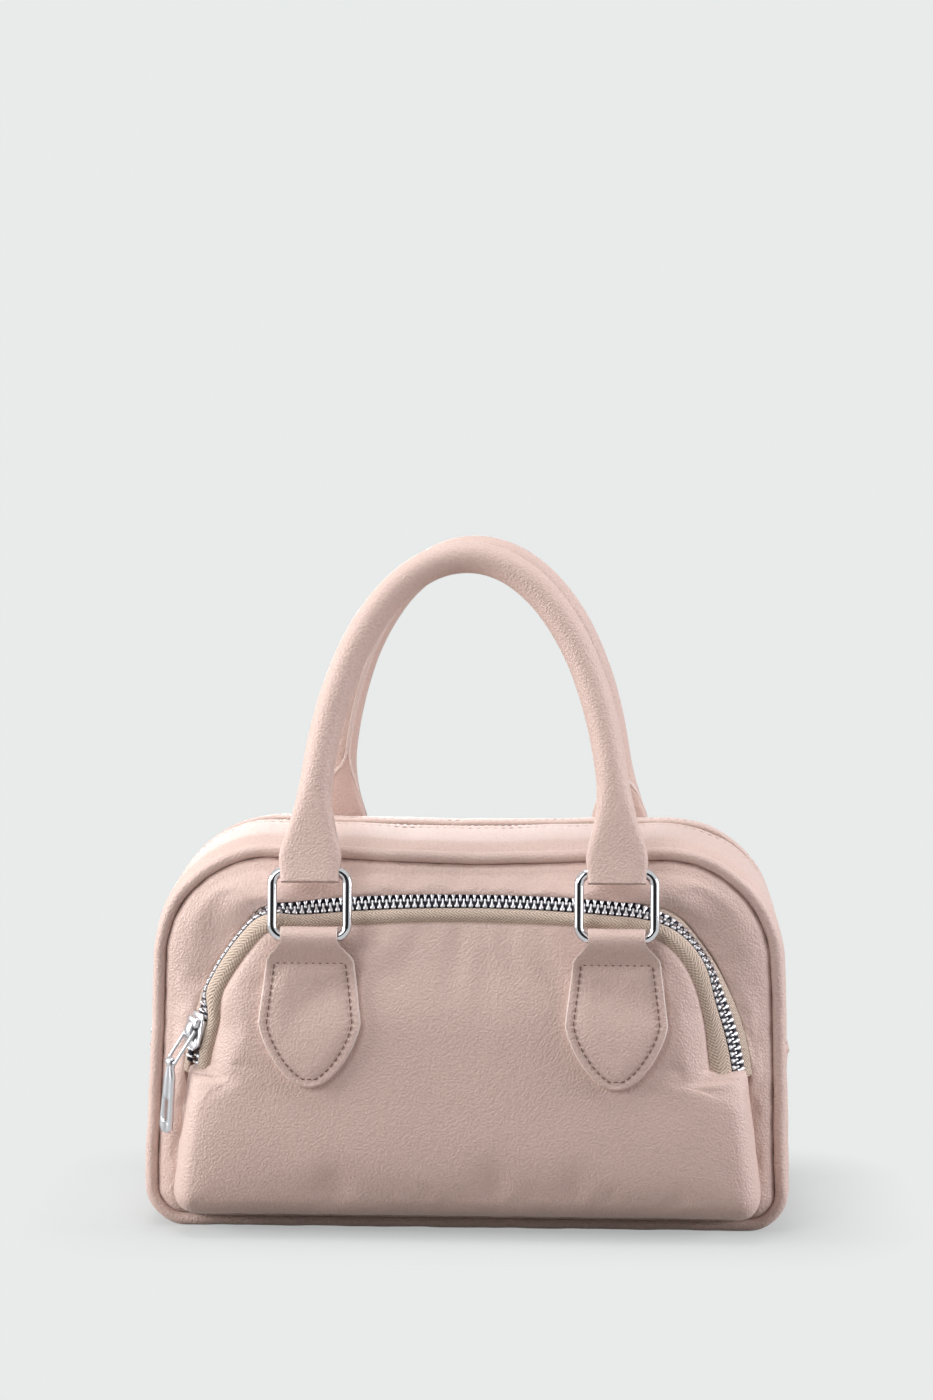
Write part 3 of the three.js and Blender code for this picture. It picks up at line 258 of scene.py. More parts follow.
# Colours as they show in daylight
LEATHER_COLOUR = (216, 190, 181)
EDGE_COLOUR = (238, 220, 213)
TAPE_COLOUR = (220, 200, 184)
THREAD_COLOUR = (124, 98, 87)
# Near-black bead under the teeth: painted shade and painted dark reflection in the gaps between the teeth
BEAD_SHADE_COLOUR = (38, 38, 48)
LINING_COLOUR = (184, 164, 148)
BOARD_COLOUR = (140, 125, 110)
CORE_COLOUR = (216, 209, 196)
METAL_COLOUR = (214, 214, 218)
PALE_GREY = (232, 235, 234)
FLOOR_SEEN = (193, 195, 198)
FLOOR_BOUNCE = (146, 140, 136)

# Stage in metres, apart from the camera, which is in millimetres, degrees and pixels
CAMERA = {"distance": 1250.0, "side": 3.0, "height": 283.0, "pitch": 4.4, "shift": -2.1, "focal": 3404.0}
PHOTO_HEIGHT = 1400.0
SENSOR = 36.0
LAMP_AIM = (0, 0, 0.1)
LAMPS = {
    "top": {"place": (-0.12, -0.1, 1.1), "size": 0.6, "power": 5.9, "colour": (1.0, 0.99, 0.985)},
    "left": {"place": (-1.0, -0.2, 0.35), "size": 0.6, "power": 9.6, "colour": (1.0, 0.985, 0.97)},
    "right": {"place": (1.0, -0.12, 0.35), "size": 0.5, "power": 7.6, "colour": (0.98, 0.97, 1.0)},
    "front": {"place": (-0.7, -1.15, 0.8), "size": 0.7, "power": 5.8, "colour": (1.0, 0.99, 0.99)},
    "back": {"place": (-0.3, 1.4, 0.4), "size": 0.7, "power": 6.0, "colour": (1.0, 0.99, 0.99)},
}
SKY_COLOUR = (1.0, 0.985, 0.975, 1)
SKY_STRENGTH = 0.2
FLOOR_REACH = 6.0
FLOOR_SHADE = {"x": 0.105, "y": 0.045, "near": 0.003, "far": 0.06, "least": 0.45}
CARD = {"half": 1.05, "low": -0.5, "high": 1.3, "away": -1.5}
CARD_COLOUR = (0.01, 0.01, 0.012, 1)


# Small helpers

def linear(colour):
    """A colour of 0 to 255 as the linear value that shaders take."""
    share = [c / 255 for c in colour]
    return [c / 12.92 if c <= 0.04045 else ((c + 0.055) / 1.055) ** 2.4 for c in share] + [1.0]


def smooth(value):
    """An even rise from 0 to 1 without corners."""
    value = np.clip(value, 0, 1)
    return value * value * (3 - 2 * value)


def bell(value):
    """1 at 0, falling off to both sides."""
    return np.exp(-value ** 2)


def between(first, second, share):
    return first + (second - first) * share


def bezier(share, first, second, third, last):
    """A curve from the first point to the last, drawn towards the two between them."""
    back = 1 - share
    middle = 3 * share * back ** 2 * second + 3 * share ** 2 * back * third
    return back ** 3 * first + middle + share ** 3 * last


def full_turn(count):
    """Even angles round a circle."""
    return np.linspace(0, 2 * np.pi, count, endpoint=False)


def squared(value, power):
    """Pushes the sine or cosine of a circle out towards a square with round corners."""
    return np.sign(value) * np.abs(value) ** power


def ripple(along, seed, wave):
    """A soft wavering between -1 and 1 along a seam."""
    phase = 1.7 * seed
    waves = ((0.5, 1, 1, 0), (0.3, 0.57, 2.3, 1), (0.2, 0.33, 3.1, 2))
    return sum(
        size * np.sin(2 * np.pi * along / (part * wave) + turn * phase + shift)
        for size, part, turn, shift in waves
    )


def slumped(points):
    """The soft bag gives a little: its top hangs between the handles and its sides waver."""
    points = np.array(points, float)
    x, y, z = points[..., 0], points[..., 1], points[..., 2]
    top = smooth((z - SLUMP["from"]) / SLUMP["run"])
    hang = SLUMP["sag"] * bell((x - SLUMP["middle"]) / SLUMP["reach"]) * top
    waver = np.sin(z / 23 + 1) * np.sin(y / 30 + 0.6) * smooth((np.abs(x) - 100) / 12) * smooth(z / 25)
    points[..., 0] = x + SLUMP["side"] * waver
    points[..., 2] = z - hang + SLUMP["top"] * np.sin(x / 19 + y / 31) * top
    return points


# Lines in the XZ plane made of arcs and straight runs, with an outward normal

class Line:
    def __init__(self, parts):
        self.parts = parts
        self.length = sum(length for length, place in parts)

    def at(self, along):
        """x, z and the outward normal at each distance along the line."""
        along = np.clip(np.atleast_1d(np.asarray(along, float)), 0, self.length)
        places = np.zeros((len(along), 4))
        start = 0.0
        for length, place in self.parts:
            here = (along >= start - 1e-9) & (along <= start + length + 1e-9)
            places[here] = place((along[here] - start) / length)
            start += length
        return places


def arc(x, z, radius, start, end):
    def place(share):
        angle = between(start, end, share)
        nx, nz = np.cos(angle), np.sin(angle)
        return np.stack([x + radius * nx, z + radius * nz, nx, nz], 1)
    return radius * abs(end - start), place


def run(start, end, normal):
    start, end = np.array(start, float), np.array(end, float)

    def place(share):
        spot = between(start, end, share[:, None])
        return np.concatenate([spot, np.tile(normal, (len(share), 1))], 1)
    return float(np.linalg.norm(end - start)), place


def end_of(part, share):
    return part[1](np.array([float(share)]))[0]


def joined(first, second, normal):
    """The straight run from the end of one part to the start of the next."""
    return run(end_of(first, 1)[:2], end_of(second, 0)[:2], normal)


def offset_points(places, y, offset):
    """Points at a depth y and an outward offset from places of a line."""
    return np.stack([
        places[:, 0] + places[:, 2] * offset,
        np.broadcast_to(y, len(places)),
        places[:, 1] + places[:, 3] * offset,
    ], 1)


def section_at(place, y, offset):
    """A cross section of many depths and offsets at one place of a line."""
    return offset_points(np.tile(place, (len(offset), 1)), y, offset)


def body_outline():
    """From the left strip seam up over the top, down the right side and back along the base."""
    top, base = TOP_CORNER, BASE_CORNER
    rise, inward = top["z"] - base["z"], base["x"] - top["x"]
    slack = top["radius"] - base["radius"]
    lean = math.atan2(inward, rise) - math.asin(slack / math.hypot(rise, inward))
    half = math.pi
    top_left = arc(-top["x"], top["z"], top["radius"], half - lean, half / 2)
    top_right = arc(top["x"], top["z"], top["radius"], half / 2, lean)
    base_right = arc(base["x"], base["z"], base["radius"], lean, -half / 2)
    base_left = arc(-base["x"], base["z"], base["radius"], -half / 2, -half - lean)
    side_top, side_base = end_of(top_left, 0), end_of(base_left, 1)
    share = (STRIP_SEAM_Z - side_base[1]) / (side_top[1] - side_base[1])
    seam = between(side_base[:2], side_top[:2], share)
    left_normal = side_top[2:]
    up = run(seam, side_top[:2], left_normal)
    over = joined(top_left, top_right, (0, 1))
    down = joined(top_right, base_right, left_normal * (-1, 1))
    under = joined(base_right, base_left, (0, -1))
    back_up = run(side_base[:2], seam, left_normal)
    line = Line([up, top_left, over, top_right, down, base_right, under, base_left, back_up])
    line.strip = 2 * up[0] + 2 * top_left[0] + over[0]
    line.corners = [
        up[0] + top_left[0] / 2,
        up[0] + top_left[0] + over[0] + top_right[0] / 2,
        line.length - back_up[0] - base_left[0] - under[0] - base_right[0] / 2,
        line.length - back_up[0] - base_left[0] / 2,
    ]
    return line


def arch_centres():
    """Centre of the arch's corner, how far the centre of its top lies from there, and its height."""
    inward = ARCH_SIDE["radius"] - ARCH_CORNER_RADIUS
    corner_x = ARCH_SIDE["x"] + inward * math.cos(ARCH_SHOULDER)
    corner_z = ARCH_SIDE["z"] + inward * math.sin(ARCH_SHOULDER)
    reach = corner_x / math.cos(ARCH_TOP)
    return corner_x, corner_z, reach, corner_z - reach * math.sin(ARCH_TOP)


def pocket_outline():
    """The zip's arch from its left end to its right end, then the right side, bottom and left side."""
    x, z, radius = ARCH_SIDE["x"], ARCH_SIDE["z"], ARCH_SIDE["radius"]
    corner_x, corner_z, reach, top_z = arch_centres()
    normal = np.array([math.cos(ARCH_START), math.sin(ARCH_START)])
    foot = POCKET_CORNER
    foot_x = (normal @ [x, z] + radius - foot["radius"] - normal[1] * foot["z"]) / normal[0]
    half = math.pi
    arch = [
        arc(-x, z, radius, half - ARCH_START, half - ARCH_SHOULDER),
        arc(-corner_x, corner_z, ARCH_CORNER_RADIUS, half - ARCH_SHOULDER, half - ARCH_TOP),
        arc(0, top_z, reach + ARCH_CORNER_RADIUS, half - ARCH_TOP, ARCH_TOP),
        arc(corner_x, corner_z, ARCH_CORNER_RADIUS, ARCH_TOP, ARCH_SHOULDER),
        arc(x, z, radius, ARCH_SHOULDER, ARCH_START),
    ]
    right = arc(foot_x, foot["z"], foot["radius"], ARCH_START, -half / 2)
    left = arc(-foot_x, foot["z"], foot["radius"], -half / 2, -half - ARCH_START)
    down = joined(arch[4], right, normal)
    under = joined(right, left, (0, -1))
    up = joined(left, arch[0], normal * (-1, 1))
    line = Line(arch + [down, right, under, left, up])
    line.arch = sum(part[0] for part in arch)
    line.shoulder = arch[0][0]
    top, base = arch[0][0] + arch[1][0] / 2, line.arch + down[0] + right[0] / 2
    line.corners = [top, line.arch - top, base, line.length + line.arch - base]
    return line


body = body_outline()
pocket = pocket_outline()


def near_arch(x, z):
    """How far a point lies outside the arch, less than 0 inside, and the way along the arch there."""
    corner_x, corner_z, reach, top_z = arch_centres()
    right = x > 0
    x = np.abs(x)
    side_x, side_z = x - ARCH_SIDE["x"], z - ARCH_SIDE["z"]
    turn = np.arctan2(z - corner_z, x - corner_x)
    top = np.hypot(x, z - top_z) - reach - ARCH_CORNER_RADIUS
    side = np.hypot(side_x, side_z) - ARCH_SIDE["radius"]
    corner = np.hypot(x - corner_x, z - corner_z) - ARCH_CORNER_RADIUS
    in_corner = (turn > ARCH_SHOULDER) & (turn < ARCH_TOP)
    on_side = ARCH_SIDE["radius"] * (np.arctan2(side_z, side_x) - ARCH_START)
    on_corner = pocket.shoulder + ARCH_CORNER_RADIUS * (turn - ARCH_SHOULDER)
    on_top = pocket.arch / 2 + (reach + ARCH_CORNER_RADIUS) * (np.arctan2(z - top_z, x) - math.pi / 2)
    along = np.where(in_corner, on_corner, np.where(top > side, on_top, on_side))
    along = np.clip(along, 0, pocket.arch / 2)
    away = np.where(in_corner, corner, np.maximum(top, side))
    return away, np.where(right, pocket.arch - along, along)


def wall_bulge(x):
    """How far the pocket's soft side walls stand out past their seam."""
    most = np.where(x > 0, WALL_BULGE["right"], WALL_BULGE["left"])
    return most * smooth((np.abs(x) - WALL_BULGE["from"]) / WALL_BULGE["run"])


def from_wall(x, z):
    """How far a point lies inside the pocket's bulging sides and its bottom."""
    nx, nz = math.cos(ARCH_START), math.sin(ARCH_START)
    reach = nx * ARCH_SIDE["x"] + nz * ARCH_SIDE["z"] + ARCH_SIDE["radius"] + wall_bulge(x)
    low, radius = POCKET_CORNER["z"], POCKET_CORNER["radius"]
    foot_x = (reach - radius - nz * low) / nx
    x = np.abs(x)
    side = reach - nx * x - nz * z
    base = z - low + radius
    corner = radius - np.hypot(x - foot_x, z - low)
    return np.where((x > foot_x) & (z < low), corner, np.minimum(side, base))


# Meshes gathered from grids of points

class Shape:
    """Points and faces in millimetres; each face names the look that it wears."""

    def __init__(self):
        self.points, self.faces, self.looks, self.spread = [], [], [], []

    def grid(self, points, look=0, around=False, along=False, ends=False, spread=None):
        """A sheet of rows and columns; around closes each row, along joins the last row to the first."""
        points = np.asarray(points, float)
        rows, columns = points.shape[:2]
        first = len(self.points)
        self.points.extend(points.reshape(-1, 3))
        flat = np.zeros((rows, columns, 2)) if spread is None else np.asarray(spread, float)
        self.spread.extend(flat.reshape(-1, 2))
        for i in range(rows if along else rows - 1):
            for j in range(columns if around else columns - 1):
                k, n = (j + 1) % columns, (i + 1) % rows
                corners = (i * columns + j, n * columns + j, n * columns + k, i * columns + k)
                self.face([first + c for c in corners], look)
        if ends:
            self.face([first + j for j in range(columns)], look)
            self.face([first + (rows - 1) * columns + j for j in reversed(range(columns))], look)

    def bar(self, rings, look=0):
        """A closed bar through rings of points."""
        self.grid(rings, look, around=True, ends=True)

    def face(self, corners, look=0):
        self.faces.append(corners)
        self.looks.append(look)

    def closed(self):
        """Turns the faces of each closed shell outwards by the sign of its volume."""
        parent = list(range(len(self.points)))

        def root(k):
            while parent[k] != k:
                parent[k] = parent[parent[k]]
                k = parent[k]
            return k
        for face in self.faces:
            for corner in face[1:]:
                parent[root(corner)] = root(face[0])
        volumes = {}
        for face in self.faces:
            a = self.points[face[0]]
            for i in range(1, len(face) - 1):
                b, c = self.points[face[i]], self.points[face[i + 1]]
                key = root(face[0])
                volumes[key] = volumes.get(key, 0.0) + float(np.dot(a, np.cross(b, c)))
        self.faces = [
            list(reversed(face)) if volumes[root(face[0])] < 0 else face for face in self.faces
        ]
        return self

    def mapped(self, change):
        self.points = list(change(np.array(self.points)))
        return self


def linked(name, data):
    """A new object in the scene."""
    made = bpy.data.objects.new(name, data)
    bpy.context.scene.collection.objects.link(made)
    return made


def mesh_of(name, points, faces):
    mesh = bpy.data.meshes.new(name)
    mesh.from_pydata([tuple(point) for point in points], [], faces)
    return mesh


def evaluated(piece):
    """The piece as its modifiers leave it."""
    return piece.evaluated_get(bpy.context.evaluated_depsgraph_get())


def build(node, kind, shape, looks, rides="bag", refine=0):
    """A Blender mesh from a shape, with its looks, riding on its body in place of one node."""
    name = node + "_" + kind
    mesh = mesh_of(name, np.array(shape.points) * MM, shape.faces)
    for look in looks:
        mesh.materials.append(look)
    for polygon, look in zip(mesh.polygons, shape.looks):
        polygon.material_index = look
        polygon.use_smooth = True
    layer = mesh.uv_layers.new(name="spread")
    for loop in mesh.loops:
        layer.data[loop.index].uv = shape.spread[loop.vertex_index] * MM
    mesh.update()
    piece = linked(name, mesh)
    if refine:
        finer = piece.modifiers.new("finer", "SUBSURF")
        finer.levels = refine
        finer.render_levels = refine
    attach(piece, rides)
    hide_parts(node)
    return piece


def patch(rim, columns, rows):
    """A sheet inside a closed rim of points that starts at the top left and goes to the right."""
    top = rim[:columns + 1]
    right = rim[columns:columns + rows + 1]
    bottom = rim[columns + rows:2 * columns + rows + 1][::-1]
    left = np.concatenate([rim[2 * columns + rows:], rim[:1]])[::-1]
    u = np.linspace(0, 1, columns + 1)[None, :, None]
    v = np.linspace(0, 1, rows + 1)[:, None, None]
    sides = (1 - v) * top[None] + v * bottom[None] + (1 - u) * left[:, None] + u * right[:, None]
    corners = (
        (1 - u) * (1 - v) * top[0] + u * (1 - v) * top[-1] + (1 - u) * v * bottom[0] + u * v * bottom[-1]
    )
    return sides - corners


def skirted(rings, columns, rows, depth_at=None):
    """A patch inside the last ring with the other rings around it, and how many points the patch has."""
    inner = np.asarray(rings[-1])
    sheet = patch(inner, columns, rows)
    if depth_at:
        sheet[..., 1] = -FRONT_FACE - depth_at(sheet[..., 0], sheet[..., 2])
    shape = Shape()
    shape.grid(sheet)
    count = len(inner)
    numbers = np.arange((rows + 1) * (columns + 1)).reshape(rows + 1, columns + 1)
    rim = (numbers[0], numbers[1:, -1], numbers[-1, -2::-1], numbers[-2:0:-1, 0])
    previous = [int(k) for k in np.concatenate(rim)]
    for ring in reversed(rings[:-1]):
        first = len(shape.points)
        shape.points.extend(np.asarray(ring))
        shape.spread.extend(np.zeros((count, 2)))
        for k in range(count):
            n = (k + 1) % count
            shape.face([previous[k], previous[n], first + n, first + k])
        previous = [first + k for k in range(count)]
    return shape, numbers.size


def faced(shape, y_sign):
    """Turns an open sheet so that its faces look towards the given side of the bag."""
    a, b, c = (np.array(shape.points[k]) for k in shape.faces[len(shape.faces) // 3][:3])
    if np.cross(b - a, c - a)[1] * y_sign < 0:
        shape.faces = [list(reversed(face)) for face in shape.faces]


def unrolled(along, reaches):
    """Where the points of a band lie when the band is laid flat."""
    return np.stack([np.stack([along, np.full(len(along), float(reach))], 1) for reach in reaches], 1)


def clear_of_rings(spots, swell):
    """How freely padding may swell: less under the rings and the tabs."""
    away = np.hypot(np.abs(spots[:, 0]) - HANDLE_SPAN, spots[:, 2] - RING_AXIS_Z)
    return between(swell["least"], 1, smooth((away - swell["near"]) / swell["over"]))


def puffed(piece, held, swell):
    """Cloth blown out a little between its held points, no point further than the swell allows."""
    rest = np.array([v.co for v in piece.data.vertices])
    group = piece.vertex_groups.new(name="held")
    group.add(held, 1.0, "REPLACE")
    cloth = piece.modifiers.new("cloth", "CLOTH")
    piece.modifiers.move(len(piece.modifiers) - 1, 0)
    cloth.settings.vertex_group_mass = "held"
    for key, value in CLOTH.items():
        setattr(cloth.settings, key, value)
    cloth.settings.effector_weights.gravity = 0
    cloth.collision_settings.use_collision = False
    finer = [m for m in piece.modifiers if m.type == "SUBSURF"]
    for modifier in finer:
        modifier.show_viewport = False
    scene = bpy.context.scene
    for number in range(CLOTH_STEPS):
        scene.frame_set(number + 1)
    moved = np.array([v.co for v in evaluated(piece).data.vertices]) - rest
    piece.modifiers.remove(cloth)
    piece.vertex_groups.remove(group)
    for modifier in finer:
        modifier.show_viewport = True
    scene.frame_set(1)
    length = np.linalg.norm(moved, axis=1, keepdims=True)
    limit = swell["most"] * MM * clear_of_rings(rest / MM, swell)[:, None]
    held_back = limit * np.tanh(length / np.maximum(limit, 1e-9)) / np.maximum(length, 1e-9)
    piece.data.vertices.foreach_set("co", (rest + moved * held_back).astype(np.float32).ravel())
    piece.data.update()


def padded_panel(node, shape, side, free, swell):
    """A padded panel that faces one side of the bag; its free points swell as cloth."""
    faced(shape.mapped(slumped), side)
    piece = build(node, "leather", shape, [leather], refine=1)
    puffed(piece, [k for k in range(len(shape.points)) if k not in free], swell)
    return piece


# Node groups that several finishes share

def add_node(tree, kind, inputs=None, **settings):
    node = tree.nodes.new("ShaderNode" + kind)
    for key, value in settings.items():
        setattr(node, key, value)
    for key, value in (inputs or {}).items():
        if isinstance(value, bpy.types.NodeSocket):
            tree.links.new(value, node.inputs[key])
        else:
            node.inputs[key].default_value = value
    return node


def maths(tree, operation, first, second=0.0):
    return add_node(tree, "Math", {0: first, 1: second}, operation=operation).outputs[0]


def times_plus(tree, first, share, second):
    """The first value times its share, plus the second."""
    return maths(tree, "ADD", maths(tree, "MULTIPLY", first, share), second)


def wave(tree, turns):
    return maths(tree, "SINE", maths(tree, "MULTIPLY", turns, 2 * math.pi))


def noise(tree, place, scale, detail, **more):
    return add_node(tree, "TexNoise", {"Vector": place, "Scale": scale, "Detail": detail, **more}).outputs


def blend_colour(tree, share, first, second):
    return add_node(tree, "Mix", {0: share, 6: first, 7: second}, data_type="RGBA").outputs[2]


def shaded(tree, colour, value):
    return add_node(tree, "HueSaturation", {"Value": value, "Color": colour}).outputs["Color"]


def ranged(tree, value, low, high, to_low, to_high):
    inputs = {"Value": value, "From Min": low, "From Max": high, "To Min": to_low, "To Max": to_high}
    return add_node(tree, "MapRange", inputs).outputs[0]


def new_group(name, inputs, outputs):
    """An empty node group; a colour or a number as an input's value says what kind the input is."""
    group = bpy.data.node_groups.new(name, "ShaderNodeTree")
    for label, value in inputs.items():
        kind = "NodeSocketFloat" if isinstance(value, float) else "NodeSocketColor"
        group.interface.new_socket(label, in_out="INPUT", socket_type=kind).default_value = value
    for label in outputs:
        kind = "NodeSocketColor" if label == "Colour" else "NodeSocketFloat"
        group.interface.new_socket(label, in_out="OUTPUT", socket_type=kind)
    return group, group.nodes.new("NodeGroupInput").outputs


def gives(group, **sockets):
    """Links what a group has made to its outputs."""
    leave = group.nodes.new("NodeGroupOutput")
    for label, socket in sockets.items():
        group.links.new(socket, leave.inputs[label])
    return group


def pebble_grain():
    """Fine pebbled leather: round cells with creases between them, and a broad uneven tone."""
    inputs = {"Colour": (0.6, 0.5, 0.45, 1), "Cells per metre": 1100.0, "Mottle": 0.1}
    group, given = new_group("pebble_grain", inputs, ["Colour", "Roughness", "Height"])
    place = add_node(group, "TexCoord").outputs["Object"]
    stretch = noise(group, place, 300.0, 2.0)["Color"]
    bent = add_node(group, "Mix", {0: 0.0006, 4: place, 5: stretch}, data_type="VECTOR").outputs[1]

    def cells(scale):
        node = add_node(group, "TexVoronoi", {"Vector": bent, "Scale": scale}, feature="F1")
        return node.outputs["Distance"]
    from_middle = cells(given["Cells per metre"])
    dome = ranged(group, from_middle, 0.1, 0.75, 1.0, 0.0)
    fine = ranged(group, cells(maths(group, "MULTIPLY", given["Cells per metre"], 2.3)), 0.1, 0.8, 1.0, 0.0)
    height = times_plus(group, dome, 0.75, maths(group, "MULTIPLY", fine, 0.25))
    crease = ranged(group, from_middle, 0.45, 0.8, 0.0, 1.0)
    broad = noise(group, place, 28.0, 4.0)["Fac"]
    uneven = maths(group, "MULTIPLY", maths(group, "SUBTRACT", broad, 0.5), given["Mottle"])
    # The creases between the cells are darkened a little: painted shade
    darker = maths(group, "SUBTRACT", uneven, maths(group, "MULTIPLY", crease, 0.07))
    tone = shaded(group, given["Colour"], maths(group, "ADD", darker, 1.0))
    rough = times_plus(group, broad, 0.16, maths(group, "MULTIPLY", crease, 0.12))
    return gives(group, Colour=tone, Roughness=maths(group, "ADD", rough, 0.38), Height=height)


def edge_rub_and_crease_shade():
    """Paler where an edge stands out and is rubbed, which is wear; darker in the creases, which is painted
    shade.
    """
    inputs = {"Colour": (0.6, 0.5, 0.45, 1), "Rubbed": (0.8, 0.7, 0.65, 1), "Amount": 0.5}
    group, given = new_group("edge_rub_and_crease_shade", inputs, ["Colour"])
    point = add_node(group, "NewGeometry").outputs["Pointiness"]
    stands = ranged(group, point, 0.52, 0.6, 0.0, 1.0)
    # Painted shade: darker where the surface sinks into a crease
    sunk = ranged(group, point, 0.48, 0.4, 0.0, 0.25)
    share = maths(group, "MULTIPLY", stands, given["Amount"])
    paler = blend_colour(group, share, given["Colour"], given["Rubbed"])
    return gives(group, Colour=shaded(group, paler, maths(group, "SUBTRACT", 1.0, sunk)))


def twill_weave():
    """Herringbone tape: slanted threads that turn back at even steps across the tape."""
    inputs = {"Colour": (0.6, 0.5, 0.4, 1), "Thread": 0.0009, "Turn": 0.0018}
    group, given = new_group("twill_weave", inputs, ["Colour", "Roughness", "Height"])
    spread = add_node(group, "TexCoord").outputs["UV"]
    along, across = add_node(group, "SeparateXYZ", {0: spread}).outputs[:2]
    slant = maths(group, "ADD", along, maths(group, "PINGPONG", across, given["Turn"]))
    cross = maths(group, "SUBTRACT", across, maths(group, "MULTIPLY", along, 0.4))
    warp = wave(group, maths(group, "DIVIDE", slant, given["Thread"]))
    weft = wave(group, maths(group, "DIVIDE", cross, given["Thread"]))
    lift = times_plus(group, warp, 0.35, maths(group, "MULTIPLY", weft, 0.15))
    height = maths(group, "ADD", lift, 0.5)
    fuzz = noise(group, spread, 2500.0, 2.0)["Fac"]
    # Raised threads lighter and low ones darker: painted light and shade over the weave
    weave_light_and_shade = times_plus(group, fuzz, 0.1, ranged(group, height, 0.0, 1.0, 0.52, 1.18))
    tone = shaded(group, given["Colour"], weave_light_and_shade)
    return gives(group, Colour=tone, Roughness=times_plus(group, fuzz, 0.2, 0.7), Height=height)


def handling_marks():
    """Faint hairlines and a bloom of fingerprints on plated metal."""
    group, given = new_group("handling_marks", {"Roughness": 0.12, "Amount": 0.1}, ["Roughness", "Height"])
    place = add_node(group, "TexCoord").outputs["Object"]
    bloom = maths(group, "SUBTRACT", noise(group, place, 180.0, 5.0)["Fac"], 0.4)
    rough = times_plus(group, bloom, given["Amount"], given["Roughness"])
    return gives(group, Roughness=rough, Height=noise(group, place, 2200.0, 3.0, Distortion=2.0)["Fac"])


GRAIN = pebble_grain()
RUB_AND_SHADE = edge_rub_and_crease_shade()
TWILL = twill_weave()
MARKS = handling_marks()


# Finishes

def new_finish(name):
    look = bpy.data.materials.new(name)
    look.use_nodes = True
    return look, look.node_tree, look.node_tree.nodes["Principled BSDF"].inputs


def made_by(tree, group, **inputs):
    """The outputs of a shared group with these inputs."""
    named = {key.replace("_", " "): value for key, value in inputs.items()}
    return add_node(tree, "Group", named, node_tree=group).outputs


def surfaced(tree, shader, pattern, strength, depth):
    """Roughness and bump of a finish from the outputs of its pattern; depth in millimetres."""
    tree.links.new(pattern["Roughness"], shader["Roughness"])
    inputs = {"Height": pattern["Height"], "Strength": strength, "Distance": depth * MM}
    bump = add_node(tree, "Bump", inputs)
    tree.links.new(bump.outputs["Normal"], shader["Normal"])


def leather_finish(name, colour, cells, mottle, rub):
    look, tree, shader = new_finish(name)
    grain = made_by(tree, GRAIN, Colour=linear(colour), Cells_per_metre=cells, Mottle=mottle)
    # Rubbed pale edges are wear; the darkening in creases is painted shade
    worn_and_shaded = made_by(tree, RUB_AND_SHADE, Colour=grain["Colour"], Rubbed=linear(EDGE_COLOUR), Amount=rub)
    tree.links.new(worn_and_shaded["Colour"], shader["Base Color"])
    shader["Specular IOR Level"].default_value = 0.46
    shader["Sheen Weight"].default_value = 0.1
    surfaced(tree, shader, grain, 1.0, 0.19)
    return look


def cloth_finish(name, colour, thread, turn):
    look, tree, shader = new_finish(name)
    weave = made_by(tree, TWILL, Colour=linear(colour), Thread=thread * MM, Turn=turn * MM)
    tree.links.new(weave["Colour"], shader["Base Color"])
    shader["Specular IOR Level"].default_value = 0.2
    shader["Sheen Weight"].default_value = 0.12
    surfaced(tree, shader, weave, 1.0, 0.3)
    return look


def metal_finish(name, colour, roughness, amount):
    look, tree, shader = new_finish(name)
    shader["Base Color"].default_value = linear(colour)
    shader["Metallic"].default_value = 1.0
    surfaced(tree, shader, made_by(tree, MARKS, Roughness=roughness, Amount=amount), 0.04, 0.02)
    return look


leather = leather_finish("grained_leather", LEATHER_COLOUR, cells=1150.0, mottle=0.1, rub=0.25)
cut_edge = leather_finish("cut_leather_edge", EDGE_COLOUR, cells=2400.0, mottle=0.14, rub=0.1)
board = leather_finish("fibre_board", BOARD_COLOUR, cells=700.0, mottle=0.2, rub=0.0)
tape_cloth = cloth_finish("zip_tape", TAPE_COLOUR, thread=1.25, turn=2.5)
sewing_thread = cloth_finish("sewing_thread", THREAD_COLOUR, thread=0.4, turn=0.8)
pale_thread = cloth_finish("matching_thread", LEATHER_COLOUR, thread=0.4, turn=0.8)
# The bead's near-black colour is painted shade between the teeth, not the tape's own colour
bead_painted_shade = cloth_finish("zip_bead_painted_shade", BEAD_SHADE_COLOUR, thread=0.5, turn=0.9)
lining_cloth = cloth_finish("lining_cloth", LINING_COLOUR, thread=0.6, turn=40.0)
core_cloth = cloth_finish("handle_core", CORE_COLOUR, thread=1.2, turn=3.0)
zip_metal = metal_finish("zip_nickel", METAL_COLOUR, roughness=0.3, amount=0.16)
ring_metal = metal_finish("ring_chrome", METAL_COLOUR, roughness=0.09, amount=0.08)


# Piping, panels and gusset

def piping(face, side):
    along = np.linspace(0, body.length, 420, endpoint=False)
    angle = full_turn(14)
    waver = PIPING["waver"] * ripple(along, side + 3, body.length / PIPING["waves"])
    rows = []
    for place, lift in zip(body.at(along), waver):
        radius = PIPING["radius"] * (1 + 0.02 * lift)
        depth = SEAM_Y + radius * np.cos(angle)
        rows.append(section_at(place, side * depth, lift + radius * np.sin(angle)))
    shape = Shape()
    shape.grid(rows, around=True, along=True)
    build(face + "_piping", "bead", shape.closed().mapped(slumped), [leather])


def stops_round(line, columns, rows):
    """Even stops along the top, right, bottom and left of a closed line, from its top left corner."""
    a, b, c, d = line.corners
    sides = ((a, b, columns), (b, c, rows), (c, d, columns), (d, a + line.length, rows))
    return np.concatenate([np.linspace(start, end, count + 1)[:-1] for start, end, count in sides])


